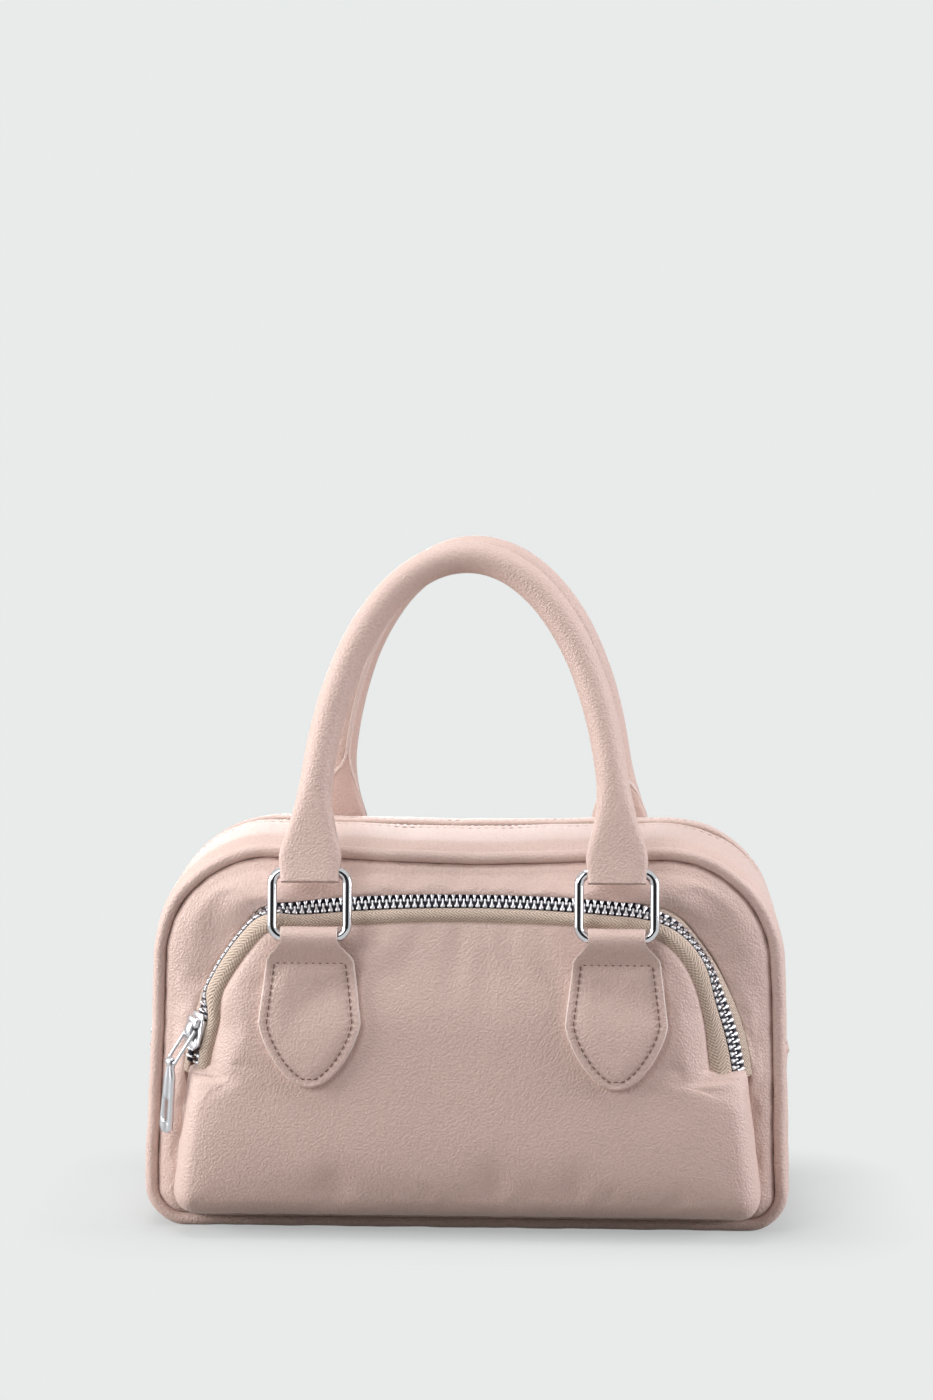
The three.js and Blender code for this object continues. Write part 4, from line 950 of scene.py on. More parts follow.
def panel_edge(stops, side, room=1.0):
    """Rings of points from deep behind the piping out to the panel's face; room narrows them."""
    places = body.at(stops % body.length)
    pucker = PANEL_PUCKER["height"] * ripple(stops, side + 5, body.length / PANEL_PUCKER["waves"])
    return [
        offset_points(places, side * (SEAM_Y + rise), pucker * (inset < PANEL_PUCKER["until"]) - inset * room)
        for inset, rise in PANEL_EDGE
    ]


def back_panel():
    """A padded panel that dips in behind the piping all round."""
    columns, rows = 84, 44
    stops = stops_round(body, columns, rows)
    level = offset_points(body.at(stops % body.length), BACK_FACE, -BACK_CROWN["inset"])
    shape, inner = skirted([*panel_edge(stops, 1), level], columns, rows)
    wide, high = BACK_CROWN["half"]
    wide_run, high_run = BACK_CROWN["run"]

    def crowned(points):
        x, z = np.abs(points[:, 0]), np.abs(points[:, 2] - BACK_CROWN["middle"])
        points[:, 1] += BACK_CROWN["rise"] * smooth((high - z) / high_run) * smooth((wide - x) / wide_run)
        return points
    return padded_panel("back_panel", shape.mapped(crowned), 1, range(inner), SWELL_BACK)


def lip_point(along):
    """Depth and offset of the front panel's edge by the zip, turned under and sewn to the upper tape."""
    over_top = smooth((along - LIP_RISE["from"]) / LIP_RISE["run"])
    past_top = smooth((LIP_FALL["from"] - pocket.arch + along) / LIP_FALL["run"])
    across = between(between(ZIP_LIP["left"], ZIP_LIP["top"], over_top), ZIP_LIP["right"], past_top)
    out = between(ZIP_LIP["out"], ZIP_LIP["top_out"], over_top * (1 - past_top))
    return ribbon_point(ribbon_tilt(along), -across, out)


def front_panel():
    """The front panel round the pocket: it rolls out from behind the piping and rises to the zip."""
    columns, rows = 96, 48
    arch, length = pocket.arch, pocket.length
    along = stops_round(pocket, columns, rows) % length
    past_right, past_left = along - arch, length - along
    nearest = np.where(past_right < past_left, arch, 0.0)
    places = pocket.at(along)
    depth, offset = lip_point(np.where(along > arch, nearest, along))
    high = np.where(along > arch, 1 - smooth(np.minimum(past_right, past_left) / ZIP_LIP["fade"]), 1.0)
    depth, offset = between(LIP_FOOT[0], depth, high), between(LIP_FOOT[1], offset, high)
    nose = in_front(places, (depth, offset))
    stops = stops_round(body, columns, rows)
    seam = offset_points(body.at(stops % body.length), -SEAM_Y, 0)
    gap = np.linalg.norm((seam - nose)[:, [0, 2]], axis=1)
    rings = panel_edge(stops, -1, np.minimum(1, gap / FRONT_RISE["room"]))
    rim = rings[-1]
    for share in FRONT_RISE["shares"]:
        ring = between(rim, nose, share)
        risen = 1 - (1 - share) ** FRONT_RISE["power"]
        belly = FRONT_RISE["belly"] * gap * math.sin(math.pi * share)
        ring[:, 1] = between(rim[:, 1], nose[:, 1], risen) - belly
        rings.append(ring)
    rings += [in_front(places, (depth + back * high, offset + aside)) for back, aside in LIP_FOLD]
    hem = (offset + LIP_HEM["past"], LIP_HEM["end"])
    rings += [in_front(places, (LIP_HEM["depth"], aside)) for aside in hem]
    shape, inner = skirted(rings, columns, rows)
    free = inner + (len(LIP_FOLD) + 1) * len(along)
    free = range(free, free + len(FRONT_RISE["shares"]) * len(along))
    padded_panel("front_panel", shape, -1, free, SWELL_FRONT)


def gusset_outside(crown, y):
    """Height of the gusset over the seam line at a depth y: it rolls out of the seam and runs level."""
    share = np.clip((GUSSET["edge"] - np.abs(y)) / GUSSET["roll"], 0, 1)
    return between(-GUSSET["deep"], crown, 1 - (1 - share) ** GUSSET["power"])


def gusset_row(place, depth, outside, inside):
    """One closed section of the gusset, along its outer side and back along its inner side."""
    back = np.clip(depth[::-1], -GUSSET["inside"], GUSSET["inside"])
    return section_at(place, np.concatenate([depth, back]), np.concatenate([outside, inside]))


def dome(places, y):
    """How much the top of the bag arches up between its seams; the sides do not."""
    rise = TOP_DOME["rise"] * smooth((places[:, 3] - TOP_DOME["start"]) / (1 - TOP_DOME["start"]))
    return rise * np.clip(1 - (np.asarray(y) / SEAM_Y) ** 2, 0, 1)


def zip_strip(face, side):
    across = np.array([*GUSSET_ROLL_Y, *np.linspace(30, 14, 6), *STRIP_EDGE_Y])
    along = np.linspace(GAP, body.strip - GAP, 260)
    places = body.at(along)
    loose = smooth((STRIP_RIPPLE["from"] - across) / STRIP_RIPPLE["run"])
    groove = STRIP_STITCH["sunk"] * bell((across - STRIP_STITCH["y"]) / STRIP_STITCH["wide"])
    rows = []
    for place, lift in zip(places, STRIP_RIPPLE["height"] * ripple(along, side + 1, STRIP_RIPPLE["wave"])):
        arched = dome(place[None], across)
        outside = gusset_outside(SIDE_CROWN, across) + lift * loose
        inside = np.minimum(outside - GUSSET["thick"] + 0.3, SIDE_CROWN - GUSSET["thick"]) + arched
        outside = outside + arched - groove
        outside[:2] = GUSSET_TUCK
        outside[-2:] -= (0.25, 0.9)
        rows.append(gusset_row(place, side * across, outside, inside[::-1]))
    shape = Shape()
    shape.bar(rows)
    shape.closed()
    row_y = STRIP_STITCH["y"]
    sewn = offset_points(places, side * row_y, SIDE_CROWN - STRIP_STITCH["sunk"] + dome(places, row_y))
    stitches(shape, sewn, places[:, 2:], 1, **GUSSET_STITCH)
    build("zip_strip_" + face, "leather", shape.mapped(slumped), [leather, pale_thread])


def base_gusset():
    """The bottom and lower sides; its two ends are turned in over the zip strips and sewn through."""
    half = np.array([*GUSSET_ROLL_Y, *np.linspace(28, 4, 6)])
    across = np.concatenate([half, -half[::-1]])
    start, end = body.strip, body.length
    near = np.array([0.0, 0.35, 0.9, 1.6, 3.0, 6.0])
    along = np.concatenate([start + near, np.linspace(start + 9, end - 9, 230), end - near[::-1]])
    loose = smooth((BASE_RIPPLE["from"] - np.abs(across)) / BASE_RIPPLE["run"])
    rows = []
    for place, here in zip(body.at(along), along):
        from_end = min(here - start, end - here)
        resting = smooth((-place[3] - 0.3) / 0.6)
        crown = between(SIDE_CROWN, PIPING["radius"], resting)
        fold = BASE_FOLD["rise"] * (1 - resting) * smooth((BASE_FOLD["from"] - from_end) / BASE_FOLD["run"])
        fold -= BASE_FOLD["edge"] * (1 - smooth(from_end / BASE_FOLD["edge_run"]))
        lift = BASE_RIPPLE["height"] * ripple(here, 2, BASE_RIPPLE["wave"]) * (1 - resting)
        outside = gusset_outside(crown, across) + (lift + fold) * loose
        outside[:2] = GUSSET_TUCK
        outside[-2:] = GUSSET_TUCK[::-1]
        rows.append(gusset_row(place, across, outside, outside[::-1] - GUSSET["thick"] + 0.2))
    shape = Shape()
    shape.bar(rows)
    shape.closed()
    row = np.linspace(-40, 40, 44)
    for spot in (start + BASE_FOLD["stitch"], end - BASE_FOLD["stitch"]):
        place = body.at(spot)[0]
        sewn = section_at(place, row, gusset_outside(SIDE_CROWN, row) + 0.5)
        stitches(shape, sewn, place[2:], 1, **GUSSET_STITCH)
    build("base_gusset", "leather", shape.mapped(slumped), [leather, pale_thread])


def stitches(shape, line, normal, look, length, pitch, radius):
    """A row of sewn stitches along a line of points, each one a short thread sunk at its ends."""
    line = np.asarray(line, float)
    normal = np.atleast_2d(np.asarray(normal, float))
    if normal.shape[1] == 2:
        normal = np.stack([normal[:, 0], 0 * normal[:, 0], normal[:, 1]], 1)
    normal = np.broadcast_to(normal, line.shape)
    far = np.concatenate([[0], np.cumsum(np.linalg.norm(np.diff(line, axis=0), axis=1))])

    def at(spot, values):
        return np.array([np.interp(spot, far, values[:, k]) for k in range(3)])
    count = max(int(far[-1] / pitch), 1)
    for i in range(count):
        middle = (i + 0.5) * far[-1] / count
        rings = []
        for share in (-1, -0.75, 0, 0.75, 1):
            spot = middle + share * length / 2
            up = at(spot, normal)
            forward = at(spot + 0.3, line) - at(spot - 0.3, line)
            forward = forward / max(np.linalg.norm(forward), 1e-9)
            aside = np.cross(forward, up)
            thick = radius * (1 - 0.75 * share ** 4)
            sunk = at(spot, line) + up * (0.12 - 0.3 * share ** 2)
            rings.append([sunk + thick * (np.cos(t) * aside + np.sin(t) * up) for t in full_turn(6)])
        shape.bar(rings, look)


# Zips; a point of a chain comes from a place of its line, the way along, the way across and the height

def on_main_chain(places, along, across, out):
    return offset_points(places, across, MAIN_CHAIN_OFFSET + dome(places, across) + out)


def tape(node, along, lines, reaches):
    """Woven tape through lines of points; a line's reach is where it lies across the flat tape."""
    shape = Shape()
    shape.grid(np.stack(lines, 1), around=True, ends=True, spread=unrolled(along, reaches))
    build(node, "cloth", shape.closed().mapped(slumped), [tape_cloth])


def main_tape(face, side):
    along = np.linspace(GAP, body.strip - GAP, 300)
    places = body.at(along)
    reaches = [2.6, 2.6, 5.0, MAIN_TAPE_END, MAIN_TAPE_END]
    heights = [-TAPE_HALF, TAPE_HALF, TAPE_HALF, TAPE_HALF, -TAPE_HALF]
    lines = [on_main_chain(places, along, side * y, out) for y, out in zip(reaches, heights)]
    tape("main_tape_" + face, along, lines, reaches)


def tooth_row(shape, line, start, end, side, spot_on):
    """Metal teeth clamped on a bead whose near-black colour is painted shade between the teeth; the two rows
    stand half a pitch apart so that they mesh.
    """
    turns = full_turn(10) + np.pi / 10
    wide, high = squared(np.cos(turns), TOOTH_SQUARENESS), squared(np.sin(turns), TOOTH_SQUARENESS)
    lead = 0.25 if side > 0 else 0.75
    for i in range(int((end - start) / PITCH)):
        middle = start + (i + lead) * PITCH
        rings = []
        for across, half_width, half_height in TOOTH_PROFILE:
            along = middle + half_width * wide
            rings.append(spot_on(line.at(along), along, side * across, half_height * high))
        shape.bar(rings)
    # The bead's dark cloth paints the shade seen in the gaps between the teeth
    along = np.arange(start, end, BEAD_STEP)
    places = line.at(along)
    bead = [spot_on(places, along, side * across, out) for across, out in BEAD_SECTION]
    shape.bar(np.stack(bead, 1), 1)


def teeth(node, shape):
    build(node, "metal", shape.closed().mapped(slumped), [zip_metal, bead_painted_shade])


def main_teeth(face, side):
    shape = Shape()
    tooth_row(shape, body, MAIN_SLIDER_AT, body.strip - 2, side, on_main_chain)
    teeth("main_teeth_" + face, shape)


def ribbon_tilt(along):
    """How far the pocket zip has turned from facing the side to facing the front."""
    along = np.asarray(along, float)
    from_end = np.minimum(along, pocket.arch - along)
    left = along < pocket.arch / 2
    angle, lead, way = (np.where(left, TILT_LEFT[key], TILT_RIGHT[key]) for key in ("angle", "lead", "run"))
    turned = smooth((from_end - pocket.shoulder + lead) / way)
    at_slider = 1 - smooth((along - TILT_SLIDER["until"]) / TILT_SLIDER["run"])
    lifted = (TILT_SLIDER["angle"] - TILT_LEFT["angle"]) * at_slider
    dip = TILT_DIP["angle"] * bell((pocket.arch - along - TILT_DIP["at"]) / TILT_DIP["run"])
    return between(angle, TILT_TOP, turned) + lifted - dip


def sideways(tilt):
    return smooth((TILT_RIGHT["angle"] - tilt) / (TILT_RIGHT["angle"] - TILT_LEFT["angle"]))


def tape_shown(along):
    """How much of the lower tape shows above the facing."""
    sizes = TAPE_SHOWN
    at_end = smooth((along - pocket.arch + sizes["end_run"]) / sizes["end_run"])
    return between(sizes["front"], sizes["side"], sideways(ribbon_tilt(along))) + sizes["end"] * at_end


def chain_depth(tilt):
    web = TAPE_WEB["least"] + TAPE_WEB["more"] * np.sin(2 * tilt)
    return TAPE_HALF + GAP + web * np.cos(tilt)


def ribbon_point(tilt, across, out):
    """Depth in front of the panel and outward offset of a point of the ribbon."""
    depth = chain_depth(tilt) + across * np.cos(tilt) + out * np.sin(tilt)
    return depth, SIDE_REACH * sideways(tilt) + out * np.cos(tilt) - across * np.sin(tilt)


def turned_point(tilt, along, out):
    """The same for the lower tape past its bend, measured from the bend."""
    depth, offset = ribbon_point(tilt, TAPE_BEND, 0.0)
    depth = depth + along * math.cos(TAPE_TURN) + out * math.sin(TAPE_TURN)
    return depth, offset - along * math.sin(TAPE_TURN) + out * math.cos(TAPE_TURN)


def in_front(places, depth_offset):
    depth, offset = depth_offset
    return offset_points(places, -FRONT_FACE - depth, offset)


def on_pocket_chain(places, along, across, out):
    return in_front(places, ribbon_point(ribbon_tilt(along), across, out))


def pocket_teeth(edge, side):
    """The meshed rows above the slider and the short parted ends below it."""
    def parted(places, along, across, out):
        return on_pocket_chain(places, along, across + TEETH_PARTED["across"] * side, out)
    shape = Shape()
    start = POCKET_SLIDER_AT
    tooth_row(shape, pocket, start, pocket.arch + TEETH_PAST_END, side, on_pocket_chain)
    tooth_row(shape, pocket, TEETH_PARTED["from"], start - TEETH_PARTED["until"], side, parted)
    teeth("pocket_teeth_" + edge, shape)


def pocket_tape_line():
    along = np.linspace(-TAPE_PAST_END, pocket.arch + TAPE_PAST_END, 270)
    return along, pocket.at(along % pocket.length), ribbon_tilt(along)


def pocket_tape_lower():
    """The tape rolls forward from the chain like a cord and dives in behind the facing's edge."""
    along, places, tilt = pocket_tape_line()
    shown = tape_shown(along)
    start = np.stack(ribbon_point(tilt, ROW_EDGE - 0.4, 0.1))
    rise = np.stack(ribbon_point(tilt, TAPE_BEND, TAPE_ROLL))
    roll = np.stack(turned_point(tilt, 0.75 * shown, 1.3 * TAPE_ROLL))
    end = np.stack(turned_point(tilt, shown + 0.3, -0.5))
    tuck = np.stack(turned_point(tilt, shown + TAPE_TUCK, -1.2))
    shares = np.linspace(0, 1, 12)
    curve = bezier(shares[:, None, None], start, rise, roll, end)
    under = [tuck, tuck - [[0.7], [0]], start - [[0.9], [0]]]
    lines = [in_front(places, point) for point in [*curve, *under]]
    tape("pocket_tape_lower", along, lines, [*(TAPE_WIDTH * shares), 11, 11, 0])


def pocket_tape_upper():
    """The tape runs from the chain straight back to the panel."""
    along, places, tilt = pocket_tape_line()
    edge = 0.4 - ROW_EDGE
    foot = -(chain_depth(tilt) - TAPE_HALF - GAP) / np.cos(tilt)
    shares = np.linspace(0, 1, 6)
    points = [(between(edge, foot, share), TAPE_HALF + 0.3 * math.sin(math.pi * share)) for share in shares]
    points += [(foot, -TAPE_HALF), (edge, -TAPE_HALF)]
    lines = [in_front(places, ribbon_point(tilt, across, out)) for across, out in points]
    tape("pocket_tape_upper", along, lines, [*(TAPE_WIDTH * shares), TAPE_WIDTH, 0])


# Pocket facing

def facing_depth(x, z):
    """Depth of the facing in front of the panel: a belly that falls back to the tape and to the walls."""
    belly = BELLY_TOP["depth"] + (BELLY_TOP["z"] - z) * math.tan(BELLY_TILT)
    belly = belly - BELLY_TUCK["deep"] * np.maximum((BELLY_TUCK["from"] - z) / BELLY_TUCK["run"], 0) ** 2
    away, along = near_arch(x, z)
    inset = np.maximum(from_wall(x, z), 0)
    from_seam = inset - wall_bulge(x)
    valley, offset = turned_point(ribbon_tilt(along), tape_shown(along), 0.0)
    drop = TAPE_DROP
    deepest = np.maximum(belly - valley - drop["least"], drop["least"])
    below = drop["below"] * np.maximum(LEDGE_Z - z, 0)
    roll = drop["side"] + drop["more"] * smooth((drop["from"] - np.abs(x)) / drop["run"])
    share = np.clip(1 - np.hypot(np.maximum(offset - away, 0), below) / roll, 0, 1)
    ledge = LEDGE_Z + LEDGE["drop"] * smooth((LEDGE["run"] - inset) / LEDGE["run"])
    above = smooth((z - ledge) / LEDGE["above"] + 0.5)
    kept = smooth((from_seam + offset) / LEDGE["seam"] + 0.5)
    arch_drop = deepest * share ** drop["power"] * between(kept, 1, above)
    wall_drop = WALL_ROLL["deep"] * np.exp(-inset / WALL_ROLL["run"]) * (1 - above)
    return belly - arch_drop - wall_drop


def on_facing(places, inset):
    """Points of the facing at a distance inside the pocket's seam."""
    x = places[:, 0] - places[:, 2] * inset
    z = places[:, 1] - places[:, 3] * inset
    return np.stack([x, -FRONT_FACE - facing_depth(x, z), z], 1)


def facing_arch_rings(along):
    places, tilt = pocket.at(along % pocket.length), ribbon_tilt(along)
    edge = -turned_point(tilt, tape_shown(along), 0.0)[1]
    waver = FACING_WAVER["height"] * ripple(along, 4, FACING_WAVER["wave"])
    shown = tape_shown(along) + waver
    fold = [in_front(places, turned_point(tilt, shown + past, out)) for past, out in FACING_FOLD]
    return fold + [on_facing(places, edge + waver * share + inset) for inset, share in FACING_INSETS]


def facing_wall_rings(along):
    places = pocket.at(along)
    pucker = WALL_PUCKER["height"] * ripple(along, 6, WALL_PUCKER["wave"])
    bulge = wall_bulge(places[:, 0]) * np.abs(places[:, 2])
    wall = [
        in_front(places, (depth, offset + puckered * pucker + bulged * bulge))
        for depth, offset, puckered, bulged in WALL_RINGS
    ]
    return wall + [on_facing(places, inset - bulge) for inset in WALL_INSETS]


def pocket_facing():
    """The puffed front of the pocket: folded over the tape along the arch, sewn to the panel below."""
    columns, close, far, free_rings = 96, 15, 17, 2
    arch, length = pocket.arch, pocket.length
    top_left, top_right, base_right, base_left = pocket.corners
    before, past = arch - LEDGE_STOPS["before"], arch + LEDGE_STOPS["past"]
    down = np.concatenate([
        np.linspace(top_right, before, close + 1)[:-1],
        np.linspace(before, past, close + 1)[:-1],
        np.linspace(past, base_right, far + 1),
    ])
    stops = np.concatenate([
        np.linspace(top_left, top_right, columns + 1)[:-1],
        down[:-1],
        np.linspace(base_right, base_left, columns + 1)[:-1],
        length + arch - down[:0:-1],
    ])
    around = stops % length
    past_end = np.minimum(around - arch, length - around)
    inside = np.where(around > arch, -past_end, np.minimum(around, arch - around))
    on_arch = np.where(around > (arch + length) / 2, around - length, around)
    on_arch = np.clip(on_arch, -TAPE_PAST_END, arch + TAPE_PAST_END)
    rings = []
    ways = zip(facing_arch_rings(on_arch), facing_wall_rings(around), LEDGE_RISE, LEDGE_RUN)
    for on_tape, on_wall, rise, way in ways:
        wall_share = 1 - smooth((inside - rise) / way + 0.5)
        rings.append(between(on_tape, on_wall, wall_share[:, None]))
    for ring in rings[len(WALL_RINGS):]:
        ring[:, 1] = -FRONT_FACE - facing_depth(ring[:, 0], ring[:, 2])
    shape, inner = skirted(rings, columns, len(down) - 1, facing_depth)
    free = range(inner + free_rings * len(stops))
    return padded_panel("pocket_facing", shape, -1, free, SWELL_POCKET)


# Sliders and pulls

def frame_of(origin, across, along):
    across, along = Vector(across).normalized(), Vector(along).normalized()
    matrix = Matrix((across, along, across.cross(along))).transposed().to_4x4()
    matrix.translation = Vector(origin)
    return matrix


def chain_frame(line, along, spot_on):
    def spot(s, out):
        return Vector(spot_on(line.at(s), np.array([s]), 0.0, np.array([out]))[0])
    middle = spot(along, 0.0)
    out = (spot(along, 1.0) - middle).normalized()
    forward = (spot(along + 0.5, 0.0) - spot(along - 0.5, 0.0)).normalized()
    return frame_of(middle, forward.cross(out), forward)


def pull_frames(slider, lift):
    """Frames of the link, lifted off the slider, and of the pull tab, which hangs straight down from it."""
    link = slider @ Matrix.Translation((0, 0, LINK_HEIGHT)) @ Matrix.Rotation(-lift, 4, "X")
    foot = link @ Vector((0, -LINK_LENGTH, 0))
    across = link.to_3x3().col[0].copy()
    up = Vector((0, 0, 1))
    up = up - across * up.dot(across)
    return link, frame_of(foot, across, up)


def placed(shape, matrix):
    spin, move = np.array(matrix.to_3x3()), np.array(matrix.translation)
    return shape.mapped(lambda points: points @ spin.T + move)


def plate(shape, outline, low, high, soft):
    """A flat plate with softened edges from an outline in x and y."""
    outline = np.asarray(outline, float)
    middle = outline.mean(0)
    reach = np.linalg.norm(outline - middle, axis=1, keepdims=True)

    def level(z, inward):
        ring = middle + (outline - middle) * (1 - inward * soft / reach)
        return np.column_stack([ring, np.full(len(ring), z)])
    edge = 0.3
    shape.bar([
        level(low, 1), level(low + edge * soft, edge), level(low + soft, 0),
        level(high - soft, 0), level(high - edge * soft, edge), level(high, 1),
    ])


def oval(sizes, count, power):
    """An outline in x and y, round at a power of 1 and squarer below it."""
    turns = full_turn(count)
    x = sizes["width"] * squared(np.cos(turns), power)
    return np.stack([x, sizes["at"] + sizes["length"] * squared(np.sin(turns), power)], 1)


def wire_loop(half_width, height, corner, steps, radius, sides):
    """Round wire bent to a rounded rectangle that stands on the x axis."""
    x, high = half_width - corner, height - corner
    points = []
    for k, centre in enumerate(((x, high), (-x, high), (-x, corner), (x, corner))):
        for turn in np.linspace(0, math.pi / 2, steps) + k * math.pi / 2:
            points.append((centre[0] + corner * math.cos(turn), centre[1] + corner * math.sin(turn), 0.0))
    points, up = np.array(points), np.array([0, 0, 1.0])
    rings = []
    for i, point in enumerate(points):
        ahead = points[(i + 1) % len(points)] - points[i - 1]
        side = np.cross(ahead / np.linalg.norm(ahead), up)
        rings.append([point + radius * (np.cos(t) * side + np.sin(t) * up) for t in full_turn(sides)])
    shape = Shape()
    shape.grid(rings, around=True, along=True)
    return shape.closed()


def slider_shape():
    """Two plates joined by a post, with side lips, a bridge for the link and a cap over its end."""
    shape = Shape()
    far = SLIDER["half"]
    half = []
    for y in np.linspace(far, -far, 26):
        share = (far - y) / (2 * far)
        width = SLIDER["width"] + SLIDER["flare"] * smooth(share / 0.6)
        width -= SLIDER["tail"] * smooth((share - 0.8) / 0.2) ** 2
        width -= SLIDER["nose"] * smooth(1 - share / SLIDER["nose_share"])
        half.append((width, y))
    outline = half + [(-x, y) for x, y in reversed(half)]
    for low in (SLIDER_INSIDE, -SLIDER_TOP):
        plate(shape, outline, low, low + SLIDER_PLATE, SLIDER_SOFT)
    sunk = SLIDER_INSIDE + 0.3
    plate(shape, oval(SLIDER_POST, 16, 1), -sunk, sunk, SLIDER_POST["soft"])
    lip = SLIDER_LIP
    for side in (-1, 1):
        outline = [(side * x, y) for x, y in SLIDER_LIP_OUTLINE]
        plate(shape, outline, SLIDER_INSIDE - lip["low"], SLIDER_INSIDE + lip["high"], lip["soft"])
    wide, soft, sunk = BRIDGE["half"], BRIDGE["soft"], BRIDGE["sunk"]
    rows = []
    for turn in np.linspace(0.02 * math.pi, 0.98 * math.pi, 15):
        (y, z), (inner_y, inner_z) = (
            (way * math.cos(turn), SLIDER_TOP - sunk + rise * math.sin(turn) ** BRIDGE["power"])
            for way, rise in (BRIDGE["outer"], BRIDGE["inner"])
        )
        rows.append([
            (-wide, y, z - sunk), (soft - wide, y, z), (wide - soft, y, z), (wide, y, z - sunk),
            (wide, inner_y, inner_z), (-wide, inner_y, inner_z),
        ])
    shape.bar(rows)
    cap = SLIDER_CAP
    plate(shape, oval(cap, 27, 0.5), SLIDER_TOP - cap["sunk"], SLIDER_TOP + cap["high"], cap["soft"])
    return shape.closed()


def link_shape():
    loop = wire_loop(LINK_HALF_WIDTH, LINK_LENGTH, LINK_CORNER, 6, LINK_WIRE, 10)
    return loop.mapped(lambda points: points - [0, LINK_LENGTH, 0])


def pull_half_width(down):
    neck = PULL["neck"] + PULL["body"] * smooth((down - 1.0) / 5.5)
    tip = PULL["tip"] * smooth((down - PULL["length"] + 2.0) / 2.0) ** 2
    return neck + PULL["flare"] * smooth((down - 6) / 18) - tip


def pull_shape():
    """A flat pull with a window near its end, hung on the link by a barrel."""
    shape = Shape()
    thick, soft = PULL["half_thick"], PULL["soft"]
    stretches = ((0.6, 13.2, 14), (13.8, 21.7, 9), (22.3, PULL["length"], 8))
    drops = [down for stretch in stretches for down in np.linspace(*stretch)]
    for side in (-1, 1):
        rows = []
        for down in drops:
            inner = PULL_WINDOW["half"] if PULL_WINDOW["from"] < down < PULL_WINDOW["to"] else 0.0
            outer = pull_half_width(down)
            front = [(inner, thick), (outer - soft, thick), (outer, thick - soft)]
            back = [(x, -z) for x, z in reversed(front)]
            rows.append([(side * x, -down, z) for x, z in front + back])
        shape.bar(rows)
    radius, bore, narrow = PULL_BARREL["radius"], PULL_BARREL["bore"], PULL_BARREL["narrow"]
    barrel = [(1.5, bore), (-1.5, bore), (-1.5, narrow)]
    barrel += [(x, radius) for x in (-1.35, -0.5, 0.5, 1.35)]
    barrel += [(1.5, narrow)]
    rings = [[(x, size * math.cos(t), size * math.sin(t)) for t in full_turn(16)] for x, size in barrel]
    shape.grid(rings, around=True, along=True)
    return shape.closed()


def zip_pull(zip_name, line, along, spot_on, lift):
    slider = chain_frame(line, along, spot_on)
    link, tab_frame = pull_frames(slider, lift)
    shapes = {"slider": slider_shape(), "pull_link": link_shape(), "pull_tab": pull_shape()}
    for (part, shape), place in zip(shapes.items(), (slider, link, tab_frame)):
        node = zip_name + "_" + part
        build(node, "metal", placed(shape, place), [zip_metal], rides=node)


# Tabs and rings

def carrier(face):
    """Frames of the tab, the ring and the handle on one face of the bag: x across, y up, z out."""
    front = face == "front"
    sign = -1 if front else 1

    def leaning(origin, lean):
        return frame_of(origin, (-sign, 0, 0), (0, -sign * math.sin(lean), math.cos(lean)))
    belly = BELLY_TOP["depth"] + (BELLY_TOP["z"] - RING_AXIS_Z) * math.tan(BELLY_TILT)
    face_y = FRONT_FACE + belly + GAP / math.cos(BELLY_TILT) if front else BACK_FACE + GAP
    axis = (0, sign * (face_y + LOOP_RADIUS), RING_AXIS_Z)
    ring_frame = leaning(axis, FRONT_RING_LEAN if front else 0.0)
    return {
        "tab": leaning(axis, BELLY_TILT if front else 0.0),
        "ring": ring_frame,
        "handle": leaning(ring_frame @ Vector((0, RING_HEIGHT, 0)), HANDLE_LEAN),
    }


def aside_to(face, hand):
    """The move from the middle of a face to its left or right tab, as seen from the front."""
    seen_left = (hand == "left") == (face == "front")
    return Matrix.Translation((-HANDLE_SPAN if seen_left else HANDLE_SPAN, 0, 0))


def tab_half_width(down):
    """Half width of a tab at a distance below the ring's bar: neck, flared sides and rounded point."""
    down = np.asarray(down, float)
    hip, tip, neck = TAB_HIP, TAB_TIP, TAB_NECK
    narrow = between(TAB_STRAP, neck["half"], smooth((down - neck["from"]) / neck["run"]))
    share = np.clip((down - neck["end"]) / (hip["down"] - neck["end"]), 0, 1)
    flare = narrow + (hip["half"] - neck["half"]) * share
    t = np.linspace(0, 1, 80)
    half = bezier(t, hip["half"], hip["half"] - hip["pull"], tip["turn"], 0.0)
    low = bezier(t, hip["down"], hip["down"] + hip["turn"], tip["down"], tip["down"])
    return np.where(down > hip["down"], np.interp(down, low, half), flare)


def tab_steepness(down):
    """How much longer the way across is than the way to the nearest cut edge."""
    lean = (tab_half_width(np.asarray(down) + 0.2) - tab_half_width(np.asarray(down) - 0.2)) / 0.4
    return np.sqrt(1 + lean ** 2)


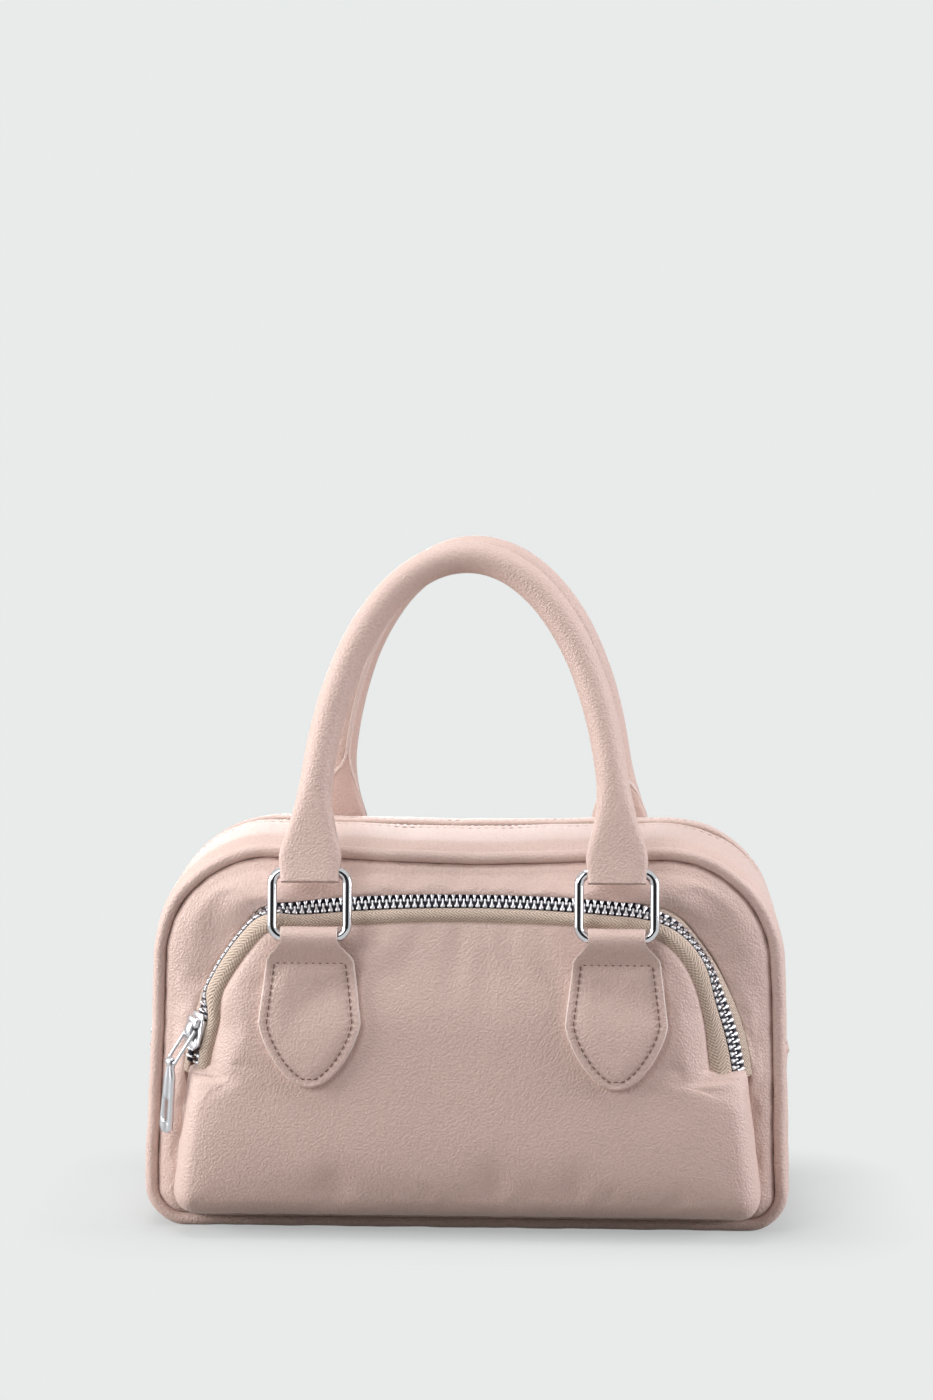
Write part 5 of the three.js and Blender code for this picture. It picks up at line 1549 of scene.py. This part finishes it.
def tab_sheet(resting_on):
    """Outer and inner side of a tab, from its tip up over the ring's bar and down behind."""
    shares = np.sin(np.linspace(-1, 1, 41) * math.pi / 2)
    sizes = TAB_PUFF
    outer, inner = [], []

    def add_row(sheet, across, up, out):
        sheet.append(np.stack([across, np.full(len(across), up), np.broadcast_to(out, len(across))], 1))
    for down in TAB_TIP["down"] - np.array([*TAB_NEAR_TIP, *np.linspace(2, TAB_TIP["down"], 64)]):
        width = float(tab_half_width(down))
        edge = (1 - np.abs(shares)) * width / float(tab_steepness(down))
        inside = smooth((edge - STITCH_INSET) / sizes["run"]) * smooth((down - STITCH_TOP) / sizes["run"])
        seam = bell((edge - STITCH_INSET) / sizes["seam_wide"]) * (down > STITCH_TOP)
        seam = np.maximum(seam, bell((down - STITCH_TOP) / sizes["seam_wide"]) * (edge > STITCH_INSET))
        cut = sizes["cut"] * (1 - np.minimum(edge / sizes["cut_wide"], 1)) ** 2
        leaf = resting_on(shares * width, down) + TAB_THICKNESS
        leaf += sizes["rise"] * inside - sizes["seam"] * seam - cut
        flat = smooth(down / TAB_LEVEL)
        top = between(LOOP_RADIUS, leaf, flat)
        add_row(outer, shares * width, -down, top)
        add_row(inner, shares * width, -down, top - between(STRAP_THICKNESS, TAB_THICKNESS, flat) + cut)
    round_bar = [(math.sin(turn), math.cos(turn), 0.0) for turn in np.linspace(0, math.pi, 18)[1:]]
    behind = [(0.0, -1.0, drop) for drop in (3.0, 6.0, 9.0)]
    for up, out, drop in round_bar + behind:
        for sheet, radius in ((outer, LOOP_RADIUS), (inner, LOOP_RADIUS - STRAP_THICKNESS)):
            add_row(sheet, shares * TAB_STRAP, radius * up - drop, radius * out)
    return np.array(outer), np.array(inner)


def two_sided(shape, outer, inner, edge_look):
    """Closes two sheets of points to a leaf of leather with pale cut edges."""
    shape.grid(outer[:, :TAB_RIM + 1], edge_look)
    shape.grid(outer[:, TAB_RIM:-TAB_RIM], 0)
    shape.grid(outer[:, -TAB_RIM - 1:], edge_look)
    shape.grid(inner[:, ::-1], 0)
    for column in (0, -1):
        edge = np.stack([outer[:, column], (outer[:, column] + inner[:, column]) / 2, inner[:, column]], 1)
        shape.grid(edge if column else edge[:, ::-1], edge_look)
    for row in (0, -1):
        edge = np.stack([outer[row], inner[row]])
        shape.grid(edge if row else edge[::-1], edge_look)


def tab(face, hand, surface):
    """A pointed tab that lies on the leather behind it and loops over the ring's bar."""
    centre = carrier(face)["tab"] @ aside_to(face, hand)
    out = centre.to_3x3().col[2].copy()
    above = 30.0

    def resting_on(across, down):
        """Height of the leather under the tab; near the loop the tab stands off it."""
        heights = []
        for x in across:
            hit = surface.ray_cast(centre @ Vector((x, -down, above)) * MM, -out)
            heights.append(-LOOP_RADIUS if hit[0] is None else above - hit[3] / MM)
        near_loop = smooth((TAB_STANDS_OFF["until"] - down) / TAB_STANDS_OFF["run"])
        return between(np.array(heights) + TAB_STANDS_OFF["lift"], -LOOP_RADIUS, near_loop)

    def sewn(share, down):
        half = max(float(tab_half_width(down)) - STITCH_INSET * float(tab_steepness(down)), 0.3)
        height = float(resting_on([share * half], down)[0])
        return np.array([share * half, -down, height + TAB_THICKNESS + 0.05])
    shape = Shape()
    two_sided(shape, *tab_sheet(resting_on), 1)
    low = TAB_TIP["down"] - STITCH_INSET - 0.1
    downs = between(STITCH_TOP, low, np.sin(np.linspace(0, math.pi / 2, 60)))
    top_row = [sewn(share, STITCH_TOP) for share in np.linspace(-1, 1, 12)]
    edge_row = [sewn(-1, down) for down in downs] + [sewn(1, down) for down in downs[::-1]]
    for row in (top_row, edge_row):
        stitches(shape, row, (0, 0, 1), 2, **TAB_STITCH)
    looks = [leather, cut_edge, sewing_thread]
    build(face + "_tab_" + hand, "leather", placed(shape, centre), looks)


def ring(face, hand):
    shape = wire_loop(RING_HALF_WIDTH, RING_HEIGHT, RING_CORNER, 12, RING_WIRE, 20)
    placed(shape, carrier(face)["ring"] @ aside_to(face, hand))
    build(face + "_ring_" + hand, "wire", shape, [ring_metal], rides=face + "_rings")


# Handles

def handle_section(rise):
    """Width, thickness and squareness of the handle at a height above the ring's bar."""
    flat = (1 - smooth(rise / HANDLE_END["blend"])) ** 1.5
    swell = bell((rise - HANDLE_END["swell_at"]) / HANDLE_END["swell_at"])
    width = between(2 * TUBE_RADIUS, HANDLE_END["width"], flat) + HANDLE_END["swell"] * swell
    return width, 2 * between(LOOP_RADIUS, TUBE_RADIUS, 1 - flat), 2 + 3 * flat


def handle_stations():
    """Centres along the handle and its direction there, from one looped end to the other."""
    drops = -LOOP_RADIUS * np.sin(np.linspace(0.48 * math.pi, 0.1 * math.pi, 7))
    low = np.arcsin((np.linspace(0.5, HANDLE_END["rise"], 34) / HANDLE_RISE) ** (1 / HANDLE_ROUNDNESS))
    high = np.linspace(low[-1], math.pi - low[-1], 90)[1:-1]
    turns = np.concatenate([low, high, math.pi - low[::-1]])
    arch = np.stack([HANDLE_SPAN * np.cos(turns), HANDLE_RISE * np.sin(turns) ** HANDLE_ROUNDNESS], 1)
    start = np.stack([np.full(len(drops), HANDLE_SPAN), drops], 1)
    centres = np.concatenate([start, arch, start[::-1] * [-1, 1]])
    ahead = np.gradient(centres, axis=0)
    straight = len(drops) + 1
    ahead[:straight] = (0, 1)
    ahead[-straight:] = (0, -1)
    return centres, ahead / np.linalg.norm(ahead, axis=1, keepdims=True)


def handle_point(centre, ahead, spin, swell):
    """Points round the handle's section; a spin of 0 is outside the arch, a quarter turn is outward."""
    width, thickness, squareness = handle_section(centre[1])
    across = swell * width / 2 * squared(np.cos(spin), 2 / squareness)
    out = swell * thickness / 2 * squared(np.sin(spin), 2 / squareness)
    flat = centre + across[:, None] * np.array([ahead[1], -ahead[0]])
    return np.concatenate([flat, out[:, None]], 1)


def seam_spin(rise, leaf):
    """Where the lapped edges of the rolled leather lie: together on the tube, parting to the flat ends."""
    parted = smooth((HANDLE_SEAM["parts"] - rise) / HANDLE_SEAM["run"])
    meeting = HANDLE_SEAM["meets"] * math.pi + HANDLE_SEAM["apart"] * leaf
    return between(meeting, (1.5 + HANDLE_SEAM["ends"] * leaf) * math.pi, parted)


def handle_holes():
    """The bores for the rings and the slits where the leather folds back on itself."""
    holes = Shape()
    ends = (-HANDLE_LOOP["half"], HANDLE_LOOP["half"])
    low, high = HANDLE_LOOP["slit"]
    thin = HANDLE_LOOP["slit_half"]
    size = HANDLE_LOOP["bore"]
    bore = [(size * math.cos(t), size * math.sin(t)) for t in full_turn(24)]
    slit = [(low, -thin), (high, -thin), (high, thin), (low, thin)]
    for x in (-HANDLE_SPAN, HANDLE_SPAN):
        for outline in (bore, slit):
            holes.bar([[(x + end, y, z) for y, z in outline] for end in ends])
    return holes.closed()


def handle(face):
    shape = Shape()
    centres, ahead = handle_stations()
    far = np.concatenate([[0], np.cumsum(np.linalg.norm(np.diff(centres, axis=0), axis=1))])
    plump = 1 + HANDLE_PLUMP["more"] * smooth((centres[:, 1] - HANDLE_PLUMP["from"]) / HANDLE_PLUMP["run"])
    uneven = plump + HANDLE_RIPPLE["share"] * ripple(far, 7, HANDLE_RIPPLE["wave"])
    spin = full_turn(44)
    shape.bar([handle_point(*station, spin, swell) for *station, swell in zip(centres, ahead, uneven)])
    for leaf in (-1, 1):
        line, normal = [], []
        for centre, way, swell in zip(centres, ahead, plump):
            if centre[1] >= HANDLE_SEAM["from"]:
                at = handle_point(centre, way, np.array([seam_spin(centre[1], leaf)]), swell)[0]
                away = at - [*centre, 0]
                line.append(at)
                normal.append(away / np.linalg.norm(away))
        rolled_edge(shape, line, normal, 1)
    place = carrier(face)["handle"]
    node = face + "_handle"
    shape = placed(shape.closed(), place)
    piece = build(node, "leather", shape, [leather, cut_edge], rides=node)
    bored(piece, placed(handle_holes(), place))


def bored(piece, holes):
    """Cuts holes out of a piece and keeps their edges crisp."""
    cutter = linked("holes", mesh_of("holes", np.array(holes.points) * MM, holes.faces))
    cut = piece.modifiers.new("cut", "BOOLEAN")
    cut.operation = "DIFFERENCE"
    cut.solver = "EXACT"
    cut.use_self = True
    cut.object = cutter
    result = bpy.data.meshes.new_from_object(evaluated(piece))
    piece.modifiers.clear()
    piece.data = result
    result.set_sharp_from_angle(angle=radians(50))
    bpy.data.objects.remove(cutter)


def rolled_edge(shape, line, normal, look):
    """A cut edge of leather that stands a little proud along a line of points."""
    rings = []
    for k, point in enumerate(line):
        ahead = line[min(k + 1, len(line) - 1)] - line[max(k - 1, 0)]
        aside = np.cross(ahead / np.linalg.norm(ahead), normal[k])
        rings.append([point + across * aside + out * normal[k] for across, out in ROLLED_EDGE])
    shape.bar(rings, look)


# Inside pieces

def lining():
    """A loose bag of cloth inside the body, open along the main zip."""
    inset, half_depth = LINING["inset"], LINING["half_depth"]
    columns, rows = 40, 24
    places = body.at(stops_round(body, columns, rows) % body.length)
    over, under = np.linspace(0, body.strip, 200), np.linspace(body.strip, body.length, 160)
    shape = Shape()
    for side in (-1, 1):
        wall = patch(offset_points(places, side * half_depth, -inset), columns, rows)
        slack = 1 + np.sin(wall[..., 0] / 17) * np.sin(wall[..., 2] / 13 + side)
        wall[..., 1] -= side * LINING["slack"] * slack
        shape.grid(wall, spread=wall[..., [0, 2]])
        band = [
            offset_points(body.at(over), side * y, -inset - LINING["waver"] * np.sin(over / 9 + y / 6))
            for y, reach in LINING_BANDS
        ]
        shape.grid(np.stack(band, 1), spread=unrolled(over, [reach for y, reach in LINING_BANDS]))
    band = [offset_points(body.at(under), y, -inset) for y in np.linspace(-half_depth, half_depth, 9)]
    shape.grid(np.stack(band, 1), spread=unrolled(under, range(9)))
    build("lining", "cloth_bag", shape, [lining_cloth])


def carried_over():
    """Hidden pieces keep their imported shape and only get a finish."""
    looks = {"base_board": board, "front_handle_core": core_cloth, "back_handle_core": core_cloth}
    for node, look in looks.items():
        data = frame["nodes"][node].data
        data.materials.clear()
        data.materials.append(look)


def surface_of(piece):
    mesh = evaluated(piece).data
    return BVHTree.FromPolygons([v.co for v in mesh.vertices], [list(p.vertices) for p in mesh.polygons])


# Stage: floor, light and camera

def camera():
    data = bpy.data.cameras.new("camera")
    data.sensor_fit = "VERTICAL"
    data.sensor_height = SENSOR
    data.lens = CAMERA["focal"] / PHOTO_HEIGHT * SENSOR
    data.clip_end = 20
    eye = linked("camera", data)
    side, pitch = radians(CAMERA["side"]), radians(CAMERA["pitch"])
    far, shift = CAMERA["distance"], CAMERA["shift"]
    x = far * math.sin(side) + shift * math.cos(side)
    y = -far * math.cos(side) + shift * math.sin(side)
    eye.location = Vector((x, y, CAMERA["height"])) * MM
    eye.rotation_euler = (math.pi / 2 - pitch, 0, side)
    bpy.context.scene.camera = eye


def lamp(name, place, size, power, colour):
    data = bpy.data.lights.new(name, "AREA")
    data.shape = "DISK"
    data.size = size
    data.energy = power
    data.color = colour
    light = linked(name, data)
    light.location = place
    light.rotation_euler = (Vector(LAMP_AIM) - Vector(place)).to_track_quat("-Z", "Y").to_euler()


def seen_directly(tree):
    """1 for rays from the camera, mirrors and glass, 0 for light that is scattered on."""
    path = add_node(tree, "LightPath").outputs
    share = maths(tree, "MAXIMUM", path["Is Camera Ray"], path["Is Glossy Ray"])
    return maths(tree, "MAXIMUM", share, path["Is Transmission Ray"])


def mixed_to(tree, output, share, first, second):
    """Mixes two shaders by a share and sends them to the output."""
    mix = add_node(tree, "MixShader", {0: share, 1: first.outputs[0], 2: second.outputs[0]})
    tree.links.new(mix.outputs[0], add_node(tree, output).inputs["Surface"])


def emptied(user):
    user.use_nodes = True
    user.node_tree.nodes.clear()
    return user.node_tree


def world():
    sky = bpy.data.worlds.new("studio")
    tree = emptied(sky)
    plain = add_node(tree, "Background", {"Color": linear(PALE_GREY), "Strength": 1.0})
    soft = add_node(tree, "Background", {"Color": SKY_COLOUR, "Strength": SKY_STRENGTH})
    mixed_to(tree, "OutputWorld", seen_directly(tree), soft, plain)
    bpy.context.scene.world = sky


def floor_finish():
    """Even pale grey where the camera looks, with the shadow let in near the base."""
    look = bpy.data.materials.new("pale_floor")
    tree = emptied(look)
    direct = seen_directly(tree)
    tint = blend_colour(tree, direct, linear(FLOOR_BOUNCE), linear(FLOOR_SEEN))
    lit = add_node(tree, "BsdfDiffuse", {"Color": tint})
    even = add_node(tree, "Emission", {"Color": linear(PALE_GREY), "Strength": 1.0})
    x, y, z = add_node(tree, "SeparateXYZ", {0: add_node(tree, "TexCoord").outputs["Object"]}).outputs

    def past_base(axis, half):
        beyond = maths(tree, "SUBTRACT", maths(tree, "ABSOLUTE", axis), half)
        return maths(tree, "POWER", maths(tree, "MAXIMUM", beyond, 0.0), 2.0)
    apart = maths(tree, "ADD", past_base(x, FLOOR_SHADE["x"]), past_base(y, FLOOR_SHADE["y"]))
    away = maths(tree, "POWER", apart, 0.5)
    share = ranged(tree, away, FLOOR_SHADE["near"], FLOOR_SHADE["far"], FLOOR_SHADE["least"], 1.0)
    mixed_to(tree, "OutputMaterial", maths(tree, "MULTIPLY", share, direct), lit, even)
    return look


def sheet(name, corners, look):
    """A flat sheet of the stage."""
    mesh = mesh_of(name, corners, [(0, 1, 2, 3)])
    mesh.materials.append(look)
    return linked(name, mesh)


def floor():
    far = FLOOR_REACH
    corners = [(-far, -far, 0), (far, -far, 0), (far, far, 0), (-far, far, 0)]
    ground = sheet("floor", corners, floor_finish())
    ground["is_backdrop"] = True


def dark_card():
    """A dark board by the camera that only mirrors see, for the dark line along the chrome."""
    half, low, high, away = CARD["half"], CARD["low"], CARD["high"], CARD["away"]
    look, tree, shader = new_finish("dark_board")
    shader["Base Color"].default_value = CARD_COLOUR
    shader["Roughness"].default_value = 0.9
    corners = [(-half, away, low), (half, away, low), (half, away, high), (-half, away, high)]
    card = sheet("dark_card", corners, look)
    card.visible_camera = False
    card.visible_diffuse = False
    card.visible_transmission = False
    card.visible_shadow = False
    card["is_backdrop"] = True


def studio():
    bpy.context.scene.view_settings.view_transform = "Standard"
    world()
    floor()
    dark_card()
    for name, sizes in LAMPS.items():
        lamp(name, **sizes)
    camera()


# Assembly

studio()
for face, side in (("front", -1), ("back", 1)):
    piping(face, side)
    zip_strip(face, side)
    main_tape(face, side)
    main_teeth(face, side)
base_gusset()
front_panel()
back = back_panel()
facing = pocket_facing()
pocket_tape_lower()
pocket_tape_upper()
pocket_teeth("upper", -1)
pocket_teeth("lower", 1)
zip_pull("pocket", pocket, POCKET_SLIDER_AT, on_pocket_chain, POCKET_LINK_LIFT)
zip_pull("main", body, MAIN_SLIDER_AT, on_main_chain, MAIN_LINK_LIFT)
for face, rested_on in (("front", facing), ("back", back)):
    surface = surface_of(rested_on)
    for hand in ("left", "right"):
        tab(face, hand, surface)
        ring(face, hand)
    handle(face)
lining()
carried_over()

boxes = {"cad": cad_box, "visual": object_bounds()}
{k: [list(map(float, corner)) for corner in box] for k, box in boxes.items()}
